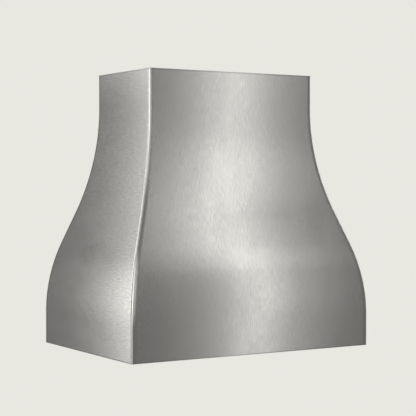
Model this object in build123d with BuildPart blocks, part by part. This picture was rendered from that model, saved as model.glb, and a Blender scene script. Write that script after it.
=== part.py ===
from build123d import *
import os
from math import atan2, cos, degrees, radians, sin, sqrt

# Bell-shaped range hood that hangs from the ceiling. +Z is up and the front is -Y.
# The origin is the middle of the ceiling face, so the whole hood lies below Z = 0.
# All sizes are in millimetres.

# Outer size of the bell
width = 914.0
depth = 640.0
height = 928.0
flare = 139.0            # from the neck out to the rim, the same on all four sides
neck_height = 112.0      # straight stretch below the ceiling
band_height = 110.0      # straight stretch above the rim
slope = 19.5             # of the straight stretch between the two bends, in degrees
shoulder_radius = 735.0  # full bend above the band

# Sheet and section sizes of the shell
skin = 1.2
plate_thickness = 1.5
ceiling_leg = 30.0
ceiling_leg_thickness = 3.0
rim_leg = 32.0
rim_upstand = 30.0
rim_thickness = 1.5
rim_recess = 3.0         # the skirt of the bell hangs this far below the rim frame
corner_leg = 30.0
corner_thickness = 1.5
bond_gap = 0.2           # adhesive between a skin and what stiffens it
frame_gap = 2.0          # between the end of a stiffener and the frame beyond it
rib_spacing = 300.0
rib_width = 36.0
rib_flange = 12.0
rib_height = 12.0
rib_sheet = 1.0

# Holes in the ceiling face
bolt_offset = 61.8       # from a rod to the bolt beside it
bolt_hole_radius = 5.0
bushing_hole_radius = 11.0

# Threaded rods that carry the blower box
rod_radius = 4.0
rod_clearance = 0.5
nut_across_flats = 13.0
nut_height = 6.5
thread_gap = 0.05
rod_tail = 12.0

# Liner pan under the bell
liner_sheet = 1.2
liner_clearance = 1.0
pan_depth = 56.0
pan_slope = 12.0         # each pan wall leans in by this much
pan_corner = 14.0
screw_radius = 2.5
screw_head_radius = 4.6
screw_head_height = 2.2
screw_length = 9.0
screw_gap = 0.05
screw_head_chamfer = 0.7
side_screws = 3          # along each short side, corners included
long_side_screws = 4     # along each long side, corners included

# Baffle filters
filter_count = 3
filter_height = 22.0
filter_gap = 6.0
end_strip = 18.8         # of the pan's ceiling beside the filter opening
long_strip = 105.0       # of the pan's ceiling before and behind the filter opening
filter_drop = 2.0        # below the pan's ceiling
filter_sheet = 1.0
filter_flange = 14.0
filter_corner = 4.0
baffle_pitch = 36.0
baffle_width = 25.0
baffle_lip = 9.0
baffle_sheet = 0.8
baffle_end_gap = 0.5
hinge_rod_radius = 2.5
hinge_rod_chamfer = 0.6
hinge_clearance = 0.05
hinge_height = 5.0       # hinge rod above the filters' lower face
hinge_offset = 4.5       # hinge rod behind the filters' rear face
hook_thickness = 1.5
hook_width = 18.0
hook_spacing = 170.0
ear_thickness = 2.0
opening_gap = 3.5        # between the filters' front edge and the pan's opening
hinge_reach = 5.5        # between the hinge rod and the pan's opening
rail_width = 7.0
rail_thickness = 1.5
catch_width = 40.0
catch_sheet = 0.8
catch_gap = 0.6
catch_foot = 6.0
catch_height = 18.0
catch_leg = 6.0          # straight stretch below the bulge

# Folding bail on each filter
bail_wire = 2.0          # wire radius
bail_width = 84.0
bail_length = 24.0
bail_corner = 8.0
bail_inset = 7.0         # from the filter's front edge to the bail's axis
bail_drop = 4.6          # bail's axis below the filter
bail_clearance = 0.1
bail_ear = 1.6
bail_ear_radius = 4.2
bail_ear_gap = 0.4       # between the bail's leg and its ear
bail_pin_end = 0.8       # of the bail beyond its ear

# Plenum box over the filters
plenum_sheet = 1.0
plenum_height = 286.0
plenum_flange = 8.0
plenum_side_gap = 2.0    # between the opening's ends and the box
plenum_rear_gap = 9.0    # behind and before the opening

# Twin blower with one motor
blower_neck = 130.0      # scroll outlet above the blower's axis
impeller_length = 70.0
blade_count = 36
blade_depth = 14.0
blade_sheet = 0.8
blade_curve = 9.5
blade_lead = 4.7         # how far a blade's tip runs ahead of its root
blade_inset = 0.8        # of the blades inside the end ring's edges
hub_disc = 2.0
hub_radius = 12.0
hub_length = 24.0
end_ring = 3.0
scroll_sheet = 1.0
scroll_side_gap = 3.0    # between the impeller's hub disc and the scroll's inner side
scroll_front_gap = 7.0   # between the impeller's end ring and the scroll's outer side
scroll_start_gap = 11.0  # between the impeller and the first arc of the spiral
scroll_step = 11.0       # growth of the spiral at each quarter
scroll_wall_gap = 2.0    # between the scrolls and the plenum's front wall
tongue_angle = 60.0
tongue_fillet = 4.0
scroll_flange = 9.0
eye_gap = 8.0            # between the inlet ring's throat and the blades
inlet_lip = 11.0
inlet_plate = 1.2
inlet_flange = 14.0
motor_radius = 52.0
motor_half_length = 47.0
motor_boss_radius = 20.0
motor_boss_half_length = 60.0
motor_edge = 6.0
shaft_radius = 5.0
shaft_clearance = 0.08
shaft_half_length = 92.0
shaft_chamfer = 0.6
shaft_hole_radius = 30.0
scroll_half_spacing = 63.0
bearing_radius = 14.0
bearing_width = 9.0
hanger_width = 50.0
hanger_sheet = 2.0
hanger_gap = 0.1
hanger_foot = 70.0
capacitor_radius = 18.0
capacitor_length = 62.0
capacitor_chamfer = 1.6
capacitor_x = 250.0
capacitor_stud = 4.0
capacitor_stud_length = 10.0

# Duct from the blower to the ceiling
duct_radius = 101.6      # outside of an 8 inch duct
duct_sheet = 1.0
duct_slip = 0.2
transition_height = 112.0
transition_collar = 30.0
transition_flange = 12.0
riser_lap = 25.0
socket_depth = 100.0     # socket for the house duct
socket_clearance = 0.3
collar_height = 190.0
collar_flange = 12.0
plate_hole_clearance = 1.0
damper_depth = 125.0     # damper pin below the ceiling
damper_pin_radius = 2.0
damper_pin_clearance = 0.05
damper_sheet = 0.8
damper_edge_gap = 1.1
damper_split = 1.0
seat_lip = 8.0
seat_height = 3.0
seat_gap = 0.15
knuckle_length = 32.0
knuckle_gap = 2.0
knuckle_count = 4

# Electric parts
junction_length = 90.0
junction_depth = 64.0
junction_height = 40.0
junction_sheet = 1.2
junction_round = 4.0
junction_gap = 26.8      # between the box and the ceiling frame
bushing_flange = 4.0
bushing_bore = 6.0
bushing_length = 12.0
bushing_lip = 2.5
control_x = 45.0
control_box_length = 190.0
control_box_depth = 66.0
control_box_height = 44.0
switch_radius = 13.0
switch_height = 20.0
switch_bushing = 4.7
switch_hole_gap = 0.2
switch_nose = 8.0
dial_radius = 28.0
dial_sheet = 0.8
stem_radius = 3.0
stem_clearance = 0.06
stem_length = 18.0
knob_radius = 19.0
knob_height = 17.0
knob_gap = 0.8
knob_wall = 2.0
knob_core = 6.0
knob_taper = 1.2         # the cap is narrower than the skirt by this much all round
knob_chamfer = 0.8
pointer_width = 1.8
pointer_length = 11.0
pointer_depth = 0.8
lamp_side = 93.0         # from the filter opening's end to a lamp's axis
lamp_edge = 3.8          # between a bezel and the pan's wall
lamp_radius = 33.0
lamp_height = 30.0
lamp_hole_gap = 0.5
lamp_sheet = 1.2
bezel_radius = 39.0
bezel_height = 3.0
bezel_chamfer = 1.0
bezel_lap = 3.0          # of the bezel over the lens's edge
lens_radius = 31.0
lens_height = 3.0
lens_gap = 0.2

# Levels and places that follow from the sizes above
neck_half_width = width / 2 - flare
neck_half_depth = depth / 2 - flare
corner_offset = (width - depth) / 2
bell_rise = height - neck_height - band_height
slope_sine = sin(radians(slope))
slope_cosine = cos(radians(slope))
radius_sum = (bell_rise * slope_sine - flare * slope_cosine) / (1 - slope_cosine)
throat_radius = radius_sum - shoulder_radius

rim_level = rim_recess - height
pan_level = rim_level + rim_thickness
pan_ceiling = pan_level + pan_depth
pan_top = pan_ceiling + liner_sheet
pan_half_width = width / 2 - skin - rim_leg
pan_half_depth = depth / 2 - skin - rim_leg

filter_level = pan_ceiling - filter_drop
opening_half_width = pan_half_width - pan_slope - end_strip
opening_rear = pan_half_depth - pan_slope - long_strip
opening_front = -opening_rear
filter_pitch = (2 * opening_half_width - filter_gap) / filter_count
filter_width = filter_pitch - filter_gap
hinge_y = opening_rear - hinge_reach
hinge_z = filter_level + hinge_height
filter_front = opening_front + opening_gap
filter_rear = hinge_y - hinge_offset
filter_length = filter_rear - filter_front
filter_middle = (filter_front + filter_rear) / 2
bail_y = filter_front + bail_inset
bail_z = filter_level - bail_drop
bail_ear_x = bail_width / 2 + bail_wire + bail_ear_gap + bail_ear / 2
bail_reach = bail_ear_x + bail_ear / 2 + bail_pin_end
lamp_x = opening_half_width - lamp_side
lamp_y = pan_half_depth - pan_slope - bezel_radius - lamp_edge

plenum_half_width = opening_half_width + plenum_side_gap
plenum_front = opening_front - plenum_rear_gap
plenum_rear = opening_rear + plenum_rear_gap
plenum_middle = (plenum_front + plenum_rear) / 2
plenum_depth = plenum_rear - plenum_front
roof_level = pan_top + plenum_height
roof_under = roof_level - plenum_sheet

spiral_offset = scroll_step / 2
scroll_reach = -plenum_front - plenum_sheet - scroll_wall_gap
scroll_radius = (scroll_reach - scroll_step - spiral_offset) / (3 + cos(radians(tongue_angle))) * 2
impeller_radius = scroll_radius - scroll_start_gap
inlet_radius = impeller_radius - blade_depth - eye_gap
scroll_rear = spiral_offset + scroll_radius + 2 * scroll_step
tongue_y = scroll_radius * cos(radians(tongue_angle)) - spiral_offset
tongue_z = scroll_radius * sin(radians(tongue_angle)) - spiral_offset
blower_y = -(scroll_rear + tongue_y) / 2
blower_z = roof_under - blower_neck
scroll_width = scroll_side_gap + impeller_length + scroll_front_gap + 2 * scroll_sheet
scroll_outer_x = scroll_half_spacing + scroll_width
impeller_x = scroll_half_spacing + scroll_sheet + scroll_side_gap
blower_plane = Plane(origin=(0, blower_y, blower_z), x_dir=(0, 1, 0), z_dir=(1, 0, 0))

transition_top = roof_level + transition_height
riser_bottom = transition_top + frame_gap
riser_top = riser_lap - collar_height
riser_bore = duct_radius + duct_slip
socket_bore = duct_radius + socket_clearance
neck_bore = duct_radius - duct_sheet
damper_radius = neck_bore - damper_edge_gap
knuckle_radius = damper_pin_radius + damper_pin_clearance + damper_sheet

rod_x = neck_half_width - skin - ceiling_leg / 2
rod_y = neck_half_depth - skin - ceiling_leg / 2
bolt_spacing_x = 2 * (rod_x - bolt_offset)
bolt_spacing_y = 2 * rod_y
frame_under = -plate_thickness - ceiling_leg_thickness
supply_x = neck_half_width - skin - ceiling_leg - junction_gap - junction_length / 2

right_rear_mitre = Plane(origin=(corner_offset, 0, 0), z_dir=(-1, 1, 0))
left_rear_mitre = Plane(origin=(-corner_offset, 0, 0), z_dir=(1, 1, 0))
right_front_mitre = Plane(origin=(corner_offset, 0, 0), z_dir=(1, 1, 0))

os.makedirs("parts", exist_ok=True)


def save(part, label):
    """Labels a finished piece and writes it under its own name."""
    part.label = label
    export_step(part, f"parts/{label}.step")


def save_group(solids, label):
    """Writes like pieces together as one node of separate solids."""
    save(Compound(children=list(solids)), label)


def bell_section(rim_half, outer_gap, inner_gap, top, bottom):
    """Section of a layer that follows the bell between two depths inside its outer face.

    The curve is a straight neck, a hollow arc, a straight slope, a full arc and a straight band,
    each tangent to the next.
    """
    neck_half = rim_half - flare
    throat_centre = (neck_half + throat_radius, -neck_height)
    shoulder_centre = (rim_half - shoulder_radius, band_height - height)
    with BuildSketch() as section:
        with BuildLine():
            for gap in (outer_gap, inner_gap):
                throat = CenterArc(throat_centre, throat_radius + gap, 180, slope)
                shoulder = CenterArc(shoulder_centre, shoulder_radius - gap, slope, -slope)
                Line((neck_half - gap, top), throat @ 0)
                Line(throat @ 1, shoulder @ 0)
                Line(shoulder @ 1, (rim_half - gap, bottom))
            Line((neck_half - outer_gap, top), (neck_half - inner_gap, top))
            Line((rim_half - outer_gap, bottom), (rim_half - inner_gap, bottom))
        make_face()
    return section.sketch


# Four skins of brushed sheet, mitred along the corners
with BuildPart() as back_panel:
    with BuildSketch(Plane.YZ):
        add(bell_section(depth / 2, 0, skin, -plate_thickness, -height))
    extrude(amount=width / 2, both=True)
    split(bisect_by=right_rear_mitre, keep=Keep.TOP)
    split(bisect_by=left_rear_mitre, keep=Keep.TOP)
save(back_panel.part, "back_panel")

with BuildPart() as front_panel:
    mirror(back_panel.part, about=Plane.XZ)
save(front_panel.part, "front_panel")

with BuildPart() as right_panel:
    with BuildSketch(Plane.XZ):
        add(bell_section(width / 2, 0, skin, -plate_thickness, -height))
    extrude(amount=depth / 2, both=True)
    split(bisect_by=right_rear_mitre, keep=Keep.BOTTOM)
    split(bisect_by=right_front_mitre, keep=Keep.TOP)
save(right_panel.part, "right_panel")

with BuildPart() as left_panel:
    mirror(right_panel.part, about=Plane.YZ)
save(left_panel.part, "left_panel")


# Angles of bent sheet behind the four welded corners
corner_outer = skin + bond_gap
corner_inner = corner_outer + corner_thickness
corner_top = -plate_thickness - ceiling_leg - frame_gap
corner_bottom = rim_level + rim_upstand + frame_gap

with BuildPart() as corner_rear_leg:
    with BuildSketch(Plane.YZ):
        add(bell_section(depth / 2, corner_outer, corner_inner, corner_top, corner_bottom))
    extrude(amount=width / 2)
    split(bisect_by=right_rear_mitre, keep=Keep.TOP)
    split(bisect_by=right_rear_mitre.offset(corner_leg / sqrt(2)), keep=Keep.BOTTOM)

with BuildPart() as corner_angle_back_right:
    with BuildSketch(Plane.XZ):
        add(bell_section(width / 2, corner_outer, corner_inner, corner_top, corner_bottom))
    extrude(amount=-depth / 2)
    split(bisect_by=right_rear_mitre, keep=Keep.BOTTOM)
    split(bisect_by=right_rear_mitre.offset(-corner_leg / sqrt(2)), keep=Keep.TOP)
    add(corner_rear_leg.part)
save(corner_angle_back_right.part, "corner_angle_back_right")

with BuildPart() as corner_angle_back_left:
    mirror(corner_angle_back_right.part, about=Plane.YZ)
save(corner_angle_back_left.part, "corner_angle_back_left")

with BuildPart() as corner_angle_front_right:
    mirror(corner_angle_back_right.part, about=Plane.XZ)
save(corner_angle_front_right.part, "corner_angle_front_right")

with BuildPart() as corner_angle_front_left:
    mirror(corner_angle_back_left.part, about=Plane.XZ)
save(corner_angle_front_left.part, "corner_angle_front_left")


# Hat-shaped ribs that stiffen the two wide skins
rib_inner = corner_outer + rib_height
with BuildPart() as rear_rib:
    with BuildSketch(Plane.YZ.offset(rib_spacing / 2)):
        add(bell_section(depth / 2, corner_outer, rib_inner, corner_top, corner_bottom))
    extrude(amount=rib_width / 2, both=True)
    with BuildSketch(Plane.YZ.offset(rib_spacing / 2)):
        add(bell_section(depth / 2, corner_outer, corner_outer + rib_sheet, corner_top, corner_bottom))
    extrude(amount=rib_width / 2 + rib_flange, both=True)
    with BuildSketch(Plane.YZ.offset(rib_spacing / 2)):
        add(bell_section(depth / 2, corner_outer, rib_inner - rib_sheet, corner_top, corner_bottom))
    extrude(amount=rib_width / 2 - rib_sheet, both=True, mode=Mode.SUBTRACT)
rear_ribs = [rear_rib.part, mirror(rear_rib.part, about=Plane.YZ)]
front_ribs = [mirror(rib, about=Plane.XZ) for rib in rear_ribs]
save_group(rear_ribs + front_ribs, "panel_ribs")


# Ceiling plate with the duct hole, four bolt holes and the supply hole
bolt_grid = GridLocations(bolt_spacing_x, bolt_spacing_y, 2, 2)
rod_grid = GridLocations(2 * rod_x, 2 * rod_y, 2, 2)

with BuildPart() as top_plate:
    with BuildSketch(Plane.XY.offset(-plate_thickness)):
        Rectangle(2 * neck_half_width, 2 * neck_half_depth)
        Circle(socket_bore + plate_hole_clearance, mode=Mode.SUBTRACT)
        with bolt_grid:
            Circle(bolt_hole_radius, mode=Mode.SUBTRACT)
        with Locations((supply_x, 0)):
            Circle(bushing_hole_radius, mode=Mode.SUBTRACT)
    extrude(amount=plate_thickness)
save(top_plate.part, "top_plate")

with BuildPart() as ceiling_frame:
    with BuildSketch(Plane.XY.offset(-plate_thickness)):
        Rectangle(2 * (neck_half_width - skin), 2 * (neck_half_depth - skin))
    extrude(amount=-ceiling_leg)
    with BuildSketch(Plane.XY.offset(frame_under)):
        leg_inset = skin + ceiling_leg_thickness
        Rectangle(2 * (neck_half_width - leg_inset), 2 * (neck_half_depth - leg_inset))
    extrude(amount=-ceiling_leg, mode=Mode.SUBTRACT)
    with BuildSketch(Plane.XY):
        Rectangle(2 * (neck_half_width - skin - ceiling_leg), 2 * (neck_half_depth - skin - ceiling_leg))
        with bolt_grid:
            Circle(bolt_hole_radius)
    extrude(amount=-ceiling_leg, mode=Mode.SUBTRACT)
save(ceiling_frame.part, "ceiling_frame")


# Threaded rods from the ceiling frame to the plenum roof, with their nuts
with BuildPart() as support_rods:
    with BuildSketch(Plane.XY.offset(frame_under)):
        with rod_grid:
            Circle(rod_radius)
    extrude(amount=roof_under - rod_tail - frame_under)
save_group(support_rods.part.solids(), "support_rods")

nut_levels = (frame_under - nut_height, roof_level, roof_under - nut_height)
with BuildPart() as rod_nuts:
    for level in nut_levels:
        with BuildSketch(Plane.XY.offset(level)):
            with rod_grid:
                RegularPolygon(nut_across_flats / 2, 6, major_radius=False)
                Circle(rod_radius + thread_gap, mode=Mode.SUBTRACT)
        extrude(amount=nut_height)
save_group(rod_nuts.part.solids(), "rod_nuts")


# Rim frame of bent angle inside the skirt
screw_grid_x = 2 * (width / 2 - skin - rim_leg / 2 - rim_thickness)
screw_grid_y = 2 * (depth / 2 - skin - rim_leg / 2 - rim_thickness)
side_pitch = screw_grid_y / (side_screws - 1)
long_side_pitch = screw_grid_x / (long_side_screws - 1)
screw_places = (
    GridLocations(screw_grid_x, side_pitch, 2, side_screws).locations
    + GridLocations(long_side_pitch, screw_grid_y, long_side_screws - 2, 2).locations
)

with BuildPart() as rim_frame:
    with BuildSketch(Plane.XY.offset(rim_level)):
        Rectangle(width - 2 * skin, depth - 2 * skin)
    extrude(amount=rim_upstand)
    with BuildSketch(Plane.XY.offset(pan_level)):
        Rectangle(width - 2 * (skin + rim_thickness), depth - 2 * (skin + rim_thickness))
    extrude(amount=rim_upstand, mode=Mode.SUBTRACT)
    with BuildSketch(Plane.XY.offset(rim_level)):
        RectangleRounded(2 * pan_half_width, 2 * pan_half_depth, pan_corner)
        with Locations(*screw_places):
            Circle(screw_radius + screw_gap)
    extrude(amount=rim_upstand, mode=Mode.SUBTRACT)
save(rim_frame.part, "rim_frame")


# Liner pan: a flange on the rim frame, leaning walls and a ceiling with its openings
pan_taper = degrees(atan2(pan_slope, pan_depth))
lamp_grid = GridLocations(2 * lamp_x, 2 * lamp_y, 2, 2)
control_grid = [Location((-control_x, -lamp_y)), Location((control_x, -lamp_y))]

with BuildPart() as liner_pan:
    with BuildSketch(Plane.XY.offset(pan_level)):
        pan_edge = 2 * (skin + rim_thickness + liner_clearance)
        Rectangle(width - pan_edge, depth - pan_edge)
    extrude(amount=liner_sheet)
    with BuildSketch(Plane.XY.offset(pan_level)):
        outer_corner = pan_corner + liner_sheet
        RectangleRounded(
            2 * (pan_half_width + liner_sheet), 2 * (pan_half_depth + liner_sheet), outer_corner
        )
    extrude(amount=pan_depth + liner_sheet, taper=pan_taper)
    with BuildSketch(Plane.XY.offset(pan_level)):
        RectangleRounded(2 * pan_half_width, 2 * pan_half_depth, pan_corner)
    extrude(amount=pan_depth, taper=pan_taper, mode=Mode.SUBTRACT)
    with BuildSketch(Plane.XY.offset(pan_level)):
        with Locations((0, (opening_front + opening_rear) / 2)):
            Rectangle(2 * opening_half_width, opening_rear - opening_front)
        with lamp_grid:
            Circle(lamp_radius + lamp_hole_gap)
        with Locations(*control_grid):
            Circle(switch_bushing + switch_hole_gap)
        with Locations(*screw_places):
            Circle(screw_radius + screw_gap)
    extrude(amount=2 * pan_depth, mode=Mode.SUBTRACT)
save(liner_pan.part, "liner_pan")

with BuildPart() as liner_screws:
    with BuildSketch(Plane.XY.offset(rim_level)):
        with Locations(*screw_places):
            Circle(screw_head_radius)
    extrude(amount=-screw_head_height)
    chamfer(liner_screws.faces().group_by(Axis.Z)[0].edges(), screw_head_chamfer)
    with BuildSketch(Plane.XY.offset(rim_level)):
        with Locations(*screw_places):
            Circle(screw_radius)
    extrude(amount=screw_length)
save_group(liner_screws.part.solids(), "liner_screws")


# Rail, rod and spring catches that hold the filters
ear_places = [(index - filter_count / 2) * filter_pitch for index in range(filter_count + 1)]
filter_places = [(index - (filter_count - 1) / 2) * filter_pitch for index in range(filter_count)]
rod_hole = hinge_rod_radius + hinge_clearance

with BuildPart() as filter_hinge_rail:
    with BuildSketch(Plane.XY.offset(pan_top)):
        with Locations((0, opening_rear + rail_width / 2)):
            Rectangle(2 * opening_half_width, rail_width)
    extrude(amount=rail_thickness)
    for place in ear_places:
        with BuildSketch(Plane.YZ.offset(place)):
            with Locations((hinge_y, hinge_z)):
                Circle(hinge_reach - hinge_clearance)
            with Locations((opening_rear, pan_top)):
                Rectangle(rail_width, hinge_reach, align=(Align.MIN, Align.MIN))
            with Locations((hinge_y, hinge_z)):
                Rectangle(rail_width, hinge_reach - hinge_clearance, align=(Align.MIN, Align.MIN))
                Circle(rod_hole, mode=Mode.SUBTRACT)
        extrude(amount=ear_thickness / 2, both=True)
save(filter_hinge_rail.part, "filter_hinge_rail")

with BuildPart() as filter_hinge_rod:
    with BuildSketch(Plane.YZ):
        with Locations((hinge_y, hinge_z)):
            Circle(hinge_rod_radius)
    extrude(amount=ear_places[-1] + ear_thickness, both=True)
    chamfer(filter_hinge_rod.edges().filter_by(GeomType.CIRCLE), hinge_rod_chamfer)
save(filter_hinge_rod.part, "filter_hinge_rod")

catch_y = opening_front - catch_sheet - catch_gap
catch_nose = filter_front - catch_gap - catch_y
catch_levels = [pan_top + catch_sheet, pan_top + catch_leg, pan_top + catch_height]
with BuildPart() as filter_catches:
    for place in filter_places:
        with BuildSketch(Plane.YZ.offset(place)):
            with BuildLine():
                foot = Line((catch_y - catch_foot, pan_top), (catch_y, pan_top))
                leg = Line(foot @ 1, (catch_y, catch_levels[1]))
                nose = ThreePointArc(
                    leg @ 1,
                    (catch_y + catch_nose, (catch_levels[1] + catch_levels[2]) / 2),
                    (catch_y, catch_levels[2]),
                )
                tip = Line(nose @ 1, nose @ 1 - (catch_sheet, 0))
                back = ThreePointArc(
                    tip @ 1,
                    (catch_y + catch_nose - catch_sheet, (catch_levels[1] + catch_levels[2]) / 2),
                    (catch_y - catch_sheet, catch_levels[1]),
                )
                rise = Line(back @ 1, (catch_y - catch_sheet, catch_levels[0]))
                Polyline(rise @ 1, (catch_y - catch_foot, catch_levels[0]), foot @ 0)
            make_face()
        extrude(amount=catch_width / 2, both=True)
save_group(filter_catches.part.solids(), "filter_catches")


# Baffle filters: a channel frame with rear hooks and bail ears, two rows of baffles and a bail
def filter_frame(place):
    """Channel frame whose rear hooks hang over the hinge rod."""
    with BuildPart() as frame:
        with BuildSketch(Plane.XY.offset(filter_level)):
            with Locations((place, filter_middle)):
                RectangleRounded(filter_width, filter_length, filter_corner)
                Rectangle(
                    filter_width - 2 * filter_flange,
                    filter_length - 2 * filter_flange,
                    mode=Mode.SUBTRACT,
                )
        extrude(amount=filter_height)
        with BuildSketch(Plane.XY.offset(filter_level + filter_sheet)):
            with Locations((place, filter_middle)):
                Rectangle(filter_width - 2 * filter_sheet, filter_length - 2 * filter_sheet)
        extrude(amount=filter_height - 2 * filter_sheet, mode=Mode.SUBTRACT)
        for side in (-1, 1):
            with BuildSketch(Plane.YZ.offset(place + side * hook_spacing / 2)):
                with Locations((hinge_y, hinge_z)):
                    Circle(rod_hole + hook_thickness)
                    Rectangle(
                        hinge_offset + filter_sheet / 2,
                        rod_hole + hook_thickness,
                        align=(Align.MAX, Align.MIN),
                    )
                    Circle(rod_hole, mode=Mode.SUBTRACT)
                    Rectangle(
                        2 * hinge_reach,
                        2 * hinge_reach,
                        align=(Align.CENTER, Align.MAX),
                        mode=Mode.SUBTRACT,
                    )
            extrude(amount=hook_width / 2, both=True)
            with BuildSketch(Plane.YZ.offset(place + side * bail_ear_x)):
                with Locations((bail_y, bail_z)):
                    Circle(bail_ear_radius)
                with Locations((bail_y, filter_level)):
                    Rectangle(
                        2 * bail_ear_radius, bail_drop, align=(Align.CENTER, Align.MAX)
                    )
                with Locations((bail_y, bail_z)):
                    Circle(bail_wire + bail_clearance, mode=Mode.SUBTRACT)
            extrude(amount=bail_ear / 2, both=True)
    return frame.part


def filter_baffles(place):
    """Two rows of U-shaped baffles, the upper row turned over the gaps of the lower one."""
    inner_width = filter_width - 2 * filter_flange
    lower_count = int(inner_width / baffle_pitch)
    length = filter_length - 2 * (filter_sheet + baffle_end_gap)
    base = filter_level + filter_sheet
    top = filter_level + filter_height - filter_sheet
    with BuildPart() as baffles:
        for count, level, turn in ((lower_count, base, 1), (lower_count + 1, top, -1)):
            with BuildSketch(Plane.XZ.offset(-filter_middle)):
                for index in range(count):
                    middle = place + (index - (count - 1) / 2) * baffle_pitch
                    with Locations((middle, level + turn * baffle_lip / 2)):
                        Rectangle(baffle_width, baffle_lip)
                    with Locations((middle, level + turn * (baffle_lip / 2 + baffle_sheet))):
                        Rectangle(baffle_width - 2 * baffle_sheet, baffle_lip, mode=Mode.SUBTRACT)
            extrude(amount=length / 2, both=True)
    return baffles.part


def filter_bail(place):
    """Wire handle that hangs from the two ears; its ends turn outwards into them."""
    half = bail_width / 2
    pin_round = bail_wire + bail_clearance
    with BuildPart() as bail:
        with BuildLine() as path:
            FilletPolyline(
                (place - bail_reach, bail_y, bail_z),
                (place - half, bail_y, bail_z),
                (place - half, bail_y, bail_z - bail_length),
                (place + half, bail_y, bail_z - bail_length),
                (place + half, bail_y, bail_z),
                (place + bail_reach, bail_y, bail_z),
                radius=(pin_round, bail_corner, bail_corner, pin_round),
            )
        with BuildSketch(Plane(path.line @ 0, z_dir=path.line % 0)):
            Circle(bail_wire)
        sweep()
    return bail.part


for name, place in zip(("left", "centre", "right"), filter_places):
    save(filter_frame(place), f"filter_{name}_frame")
    save_group(filter_baffles(place).solids(), f"filter_{name}_baffles")
    save(filter_bail(place), f"filter_{name}_bail")


# Plenum box over the filters, open below, with two outlets and four rod holes in its roof
outlet_middle = (scroll_half_spacing + scroll_outer_x) / 2
outlet_length = scroll_width - 2 * scroll_sheet
outlet_depth = scroll_rear - tongue_y - 2 * scroll_sheet

with BuildPart() as plenum_box:
    with BuildSketch(Plane.XY.offset(pan_top)):
        with Locations((0, plenum_middle)):
            Rectangle(
                2 * (plenum_half_width + plenum_flange), plenum_depth + 2 * plenum_flange
            )
    extrude(amount=plenum_sheet)
    with BuildSketch(Plane.XY.offset(pan_top)):
        with Locations((0, plenum_middle)):
            Rectangle(2 * plenum_half_width, plenum_depth)
    extrude(amount=plenum_height)
    with BuildSketch(Plane.XY.offset(pan_top)):
        with Locations((0, plenum_middle)):
            Rectangle(2 * (plenum_half_width - plenum_sheet), plenum_depth - 2 * plenum_sheet)
    extrude(amount=plenum_height - plenum_sheet, mode=Mode.SUBTRACT)
    with BuildSketch(Plane.XY.offset(roof_level)):
        with Locations((-outlet_middle, 0), (outlet_middle, 0)):
            Rectangle(outlet_length, outlet_depth)
        with rod_grid:
            Circle(rod_radius + rod_clearance)
        with Locations((capacitor_x, blower_y)):
            Circle(capacitor_stud + thread_gap)
    extrude(amount=-2 * plenum_sheet, mode=Mode.SUBTRACT)
save(plenum_box.part, "plenum_box")


# Scroll housings: a spiral of three tangent arcs that opens into an upright outlet
with BuildSketch() as scroll_outline:
    with BuildLine():
        first_turn = CenterArc(
            (-spiral_offset, -spiral_offset), scroll_radius, tongue_angle, 180 - tongue_angle
        )
        CenterArc((spiral_offset, -spiral_offset), scroll_radius + scroll_step, 180, 90)
        third_turn = CenterArc(
            (spiral_offset, spiral_offset), scroll_radius + 2 * scroll_step, 270, 90
        )
        Polyline(
            third_turn @ 1, (scroll_rear, blower_neck), (tongue_y, blower_neck), first_turn @ 0
        )
    make_face()
    fillet(scroll_outline.vertices().sort_by_distance((tongue_y, tongue_z))[0], tongue_fillet)

with BuildPart() as scroll_right:
    with BuildSketch(blower_plane.offset(scroll_half_spacing)):
        add(scroll_outline.sketch)
    extrude(amount=scroll_width)
    with BuildSketch(Plane.XY.offset(roof_under)):
        with Locations((outlet_middle, 0)):
            Rectangle(
                scroll_width + 2 * scroll_flange, scroll_rear - tongue_y + 2 * scroll_flange
            )
    extrude(amount=-scroll_sheet)
    with BuildSketch(blower_plane.offset(scroll_half_spacing + scroll_sheet)):
        offset(scroll_outline.sketch, amount=-scroll_sheet)
        with Locations(((tongue_y + scroll_rear) / 2, blower_neck)):
            Rectangle(outlet_depth, 4 * scroll_sheet)
    extrude(amount=outlet_length, mode=Mode.SUBTRACT)
    with BuildSketch(blower_plane.offset(scroll_half_spacing)):
        Circle(shaft_hole_radius)
    extrude(amount=scroll_sheet, mode=Mode.SUBTRACT)
    with BuildSketch(blower_plane.offset(scroll_outer_x)):
        Circle(inlet_radius + inlet_lip)
    extrude(amount=-scroll_sheet, mode=Mode.SUBTRACT)
save(scroll_right.part, "scroll_right")

with BuildPart() as scroll_left:
    mirror(scroll_right.part, about=Plane.YZ)
save(scroll_left.part, "scroll_left")

# Bell-mouthed rings round the two air inlets
with BuildPart() as inlet_ring_right:
    with BuildSketch(Plane.XY.offset(blower_z)):
        with BuildLine():
            for radius in (inlet_lip, inlet_lip - inlet_plate):
                CenterArc(
                    (scroll_outer_x - inlet_lip + inlet_plate, blower_y + inlet_radius + inlet_lip),
                    radius,
                    270,
                    90,
                )
            turn_x = scroll_outer_x + inlet_plate
            turn_y = blower_y + inlet_radius + inlet_lip
            Polyline(
                (turn_x, turn_y),
                (turn_x, turn_y + inlet_flange),
                (turn_x - inlet_plate, turn_y + inlet_flange),
                (turn_x - inlet_plate, turn_y),
            )
            Line(
                (turn_x - inlet_lip, turn_y - inlet_lip),
                (turn_x - inlet_lip, turn_y - inlet_lip + inlet_plate),
            )
        make_face()
    revolve(axis=Axis((0, blower_y, blower_z), (1, 0, 0)))
save(inlet_ring_right.part, "inlet_ring_right")

with BuildPart() as inlet_ring_left:
    mirror(inlet_ring_right.part, about=Plane.YZ)
save(inlet_ring_left.part, "inlet_ring_left")


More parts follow.
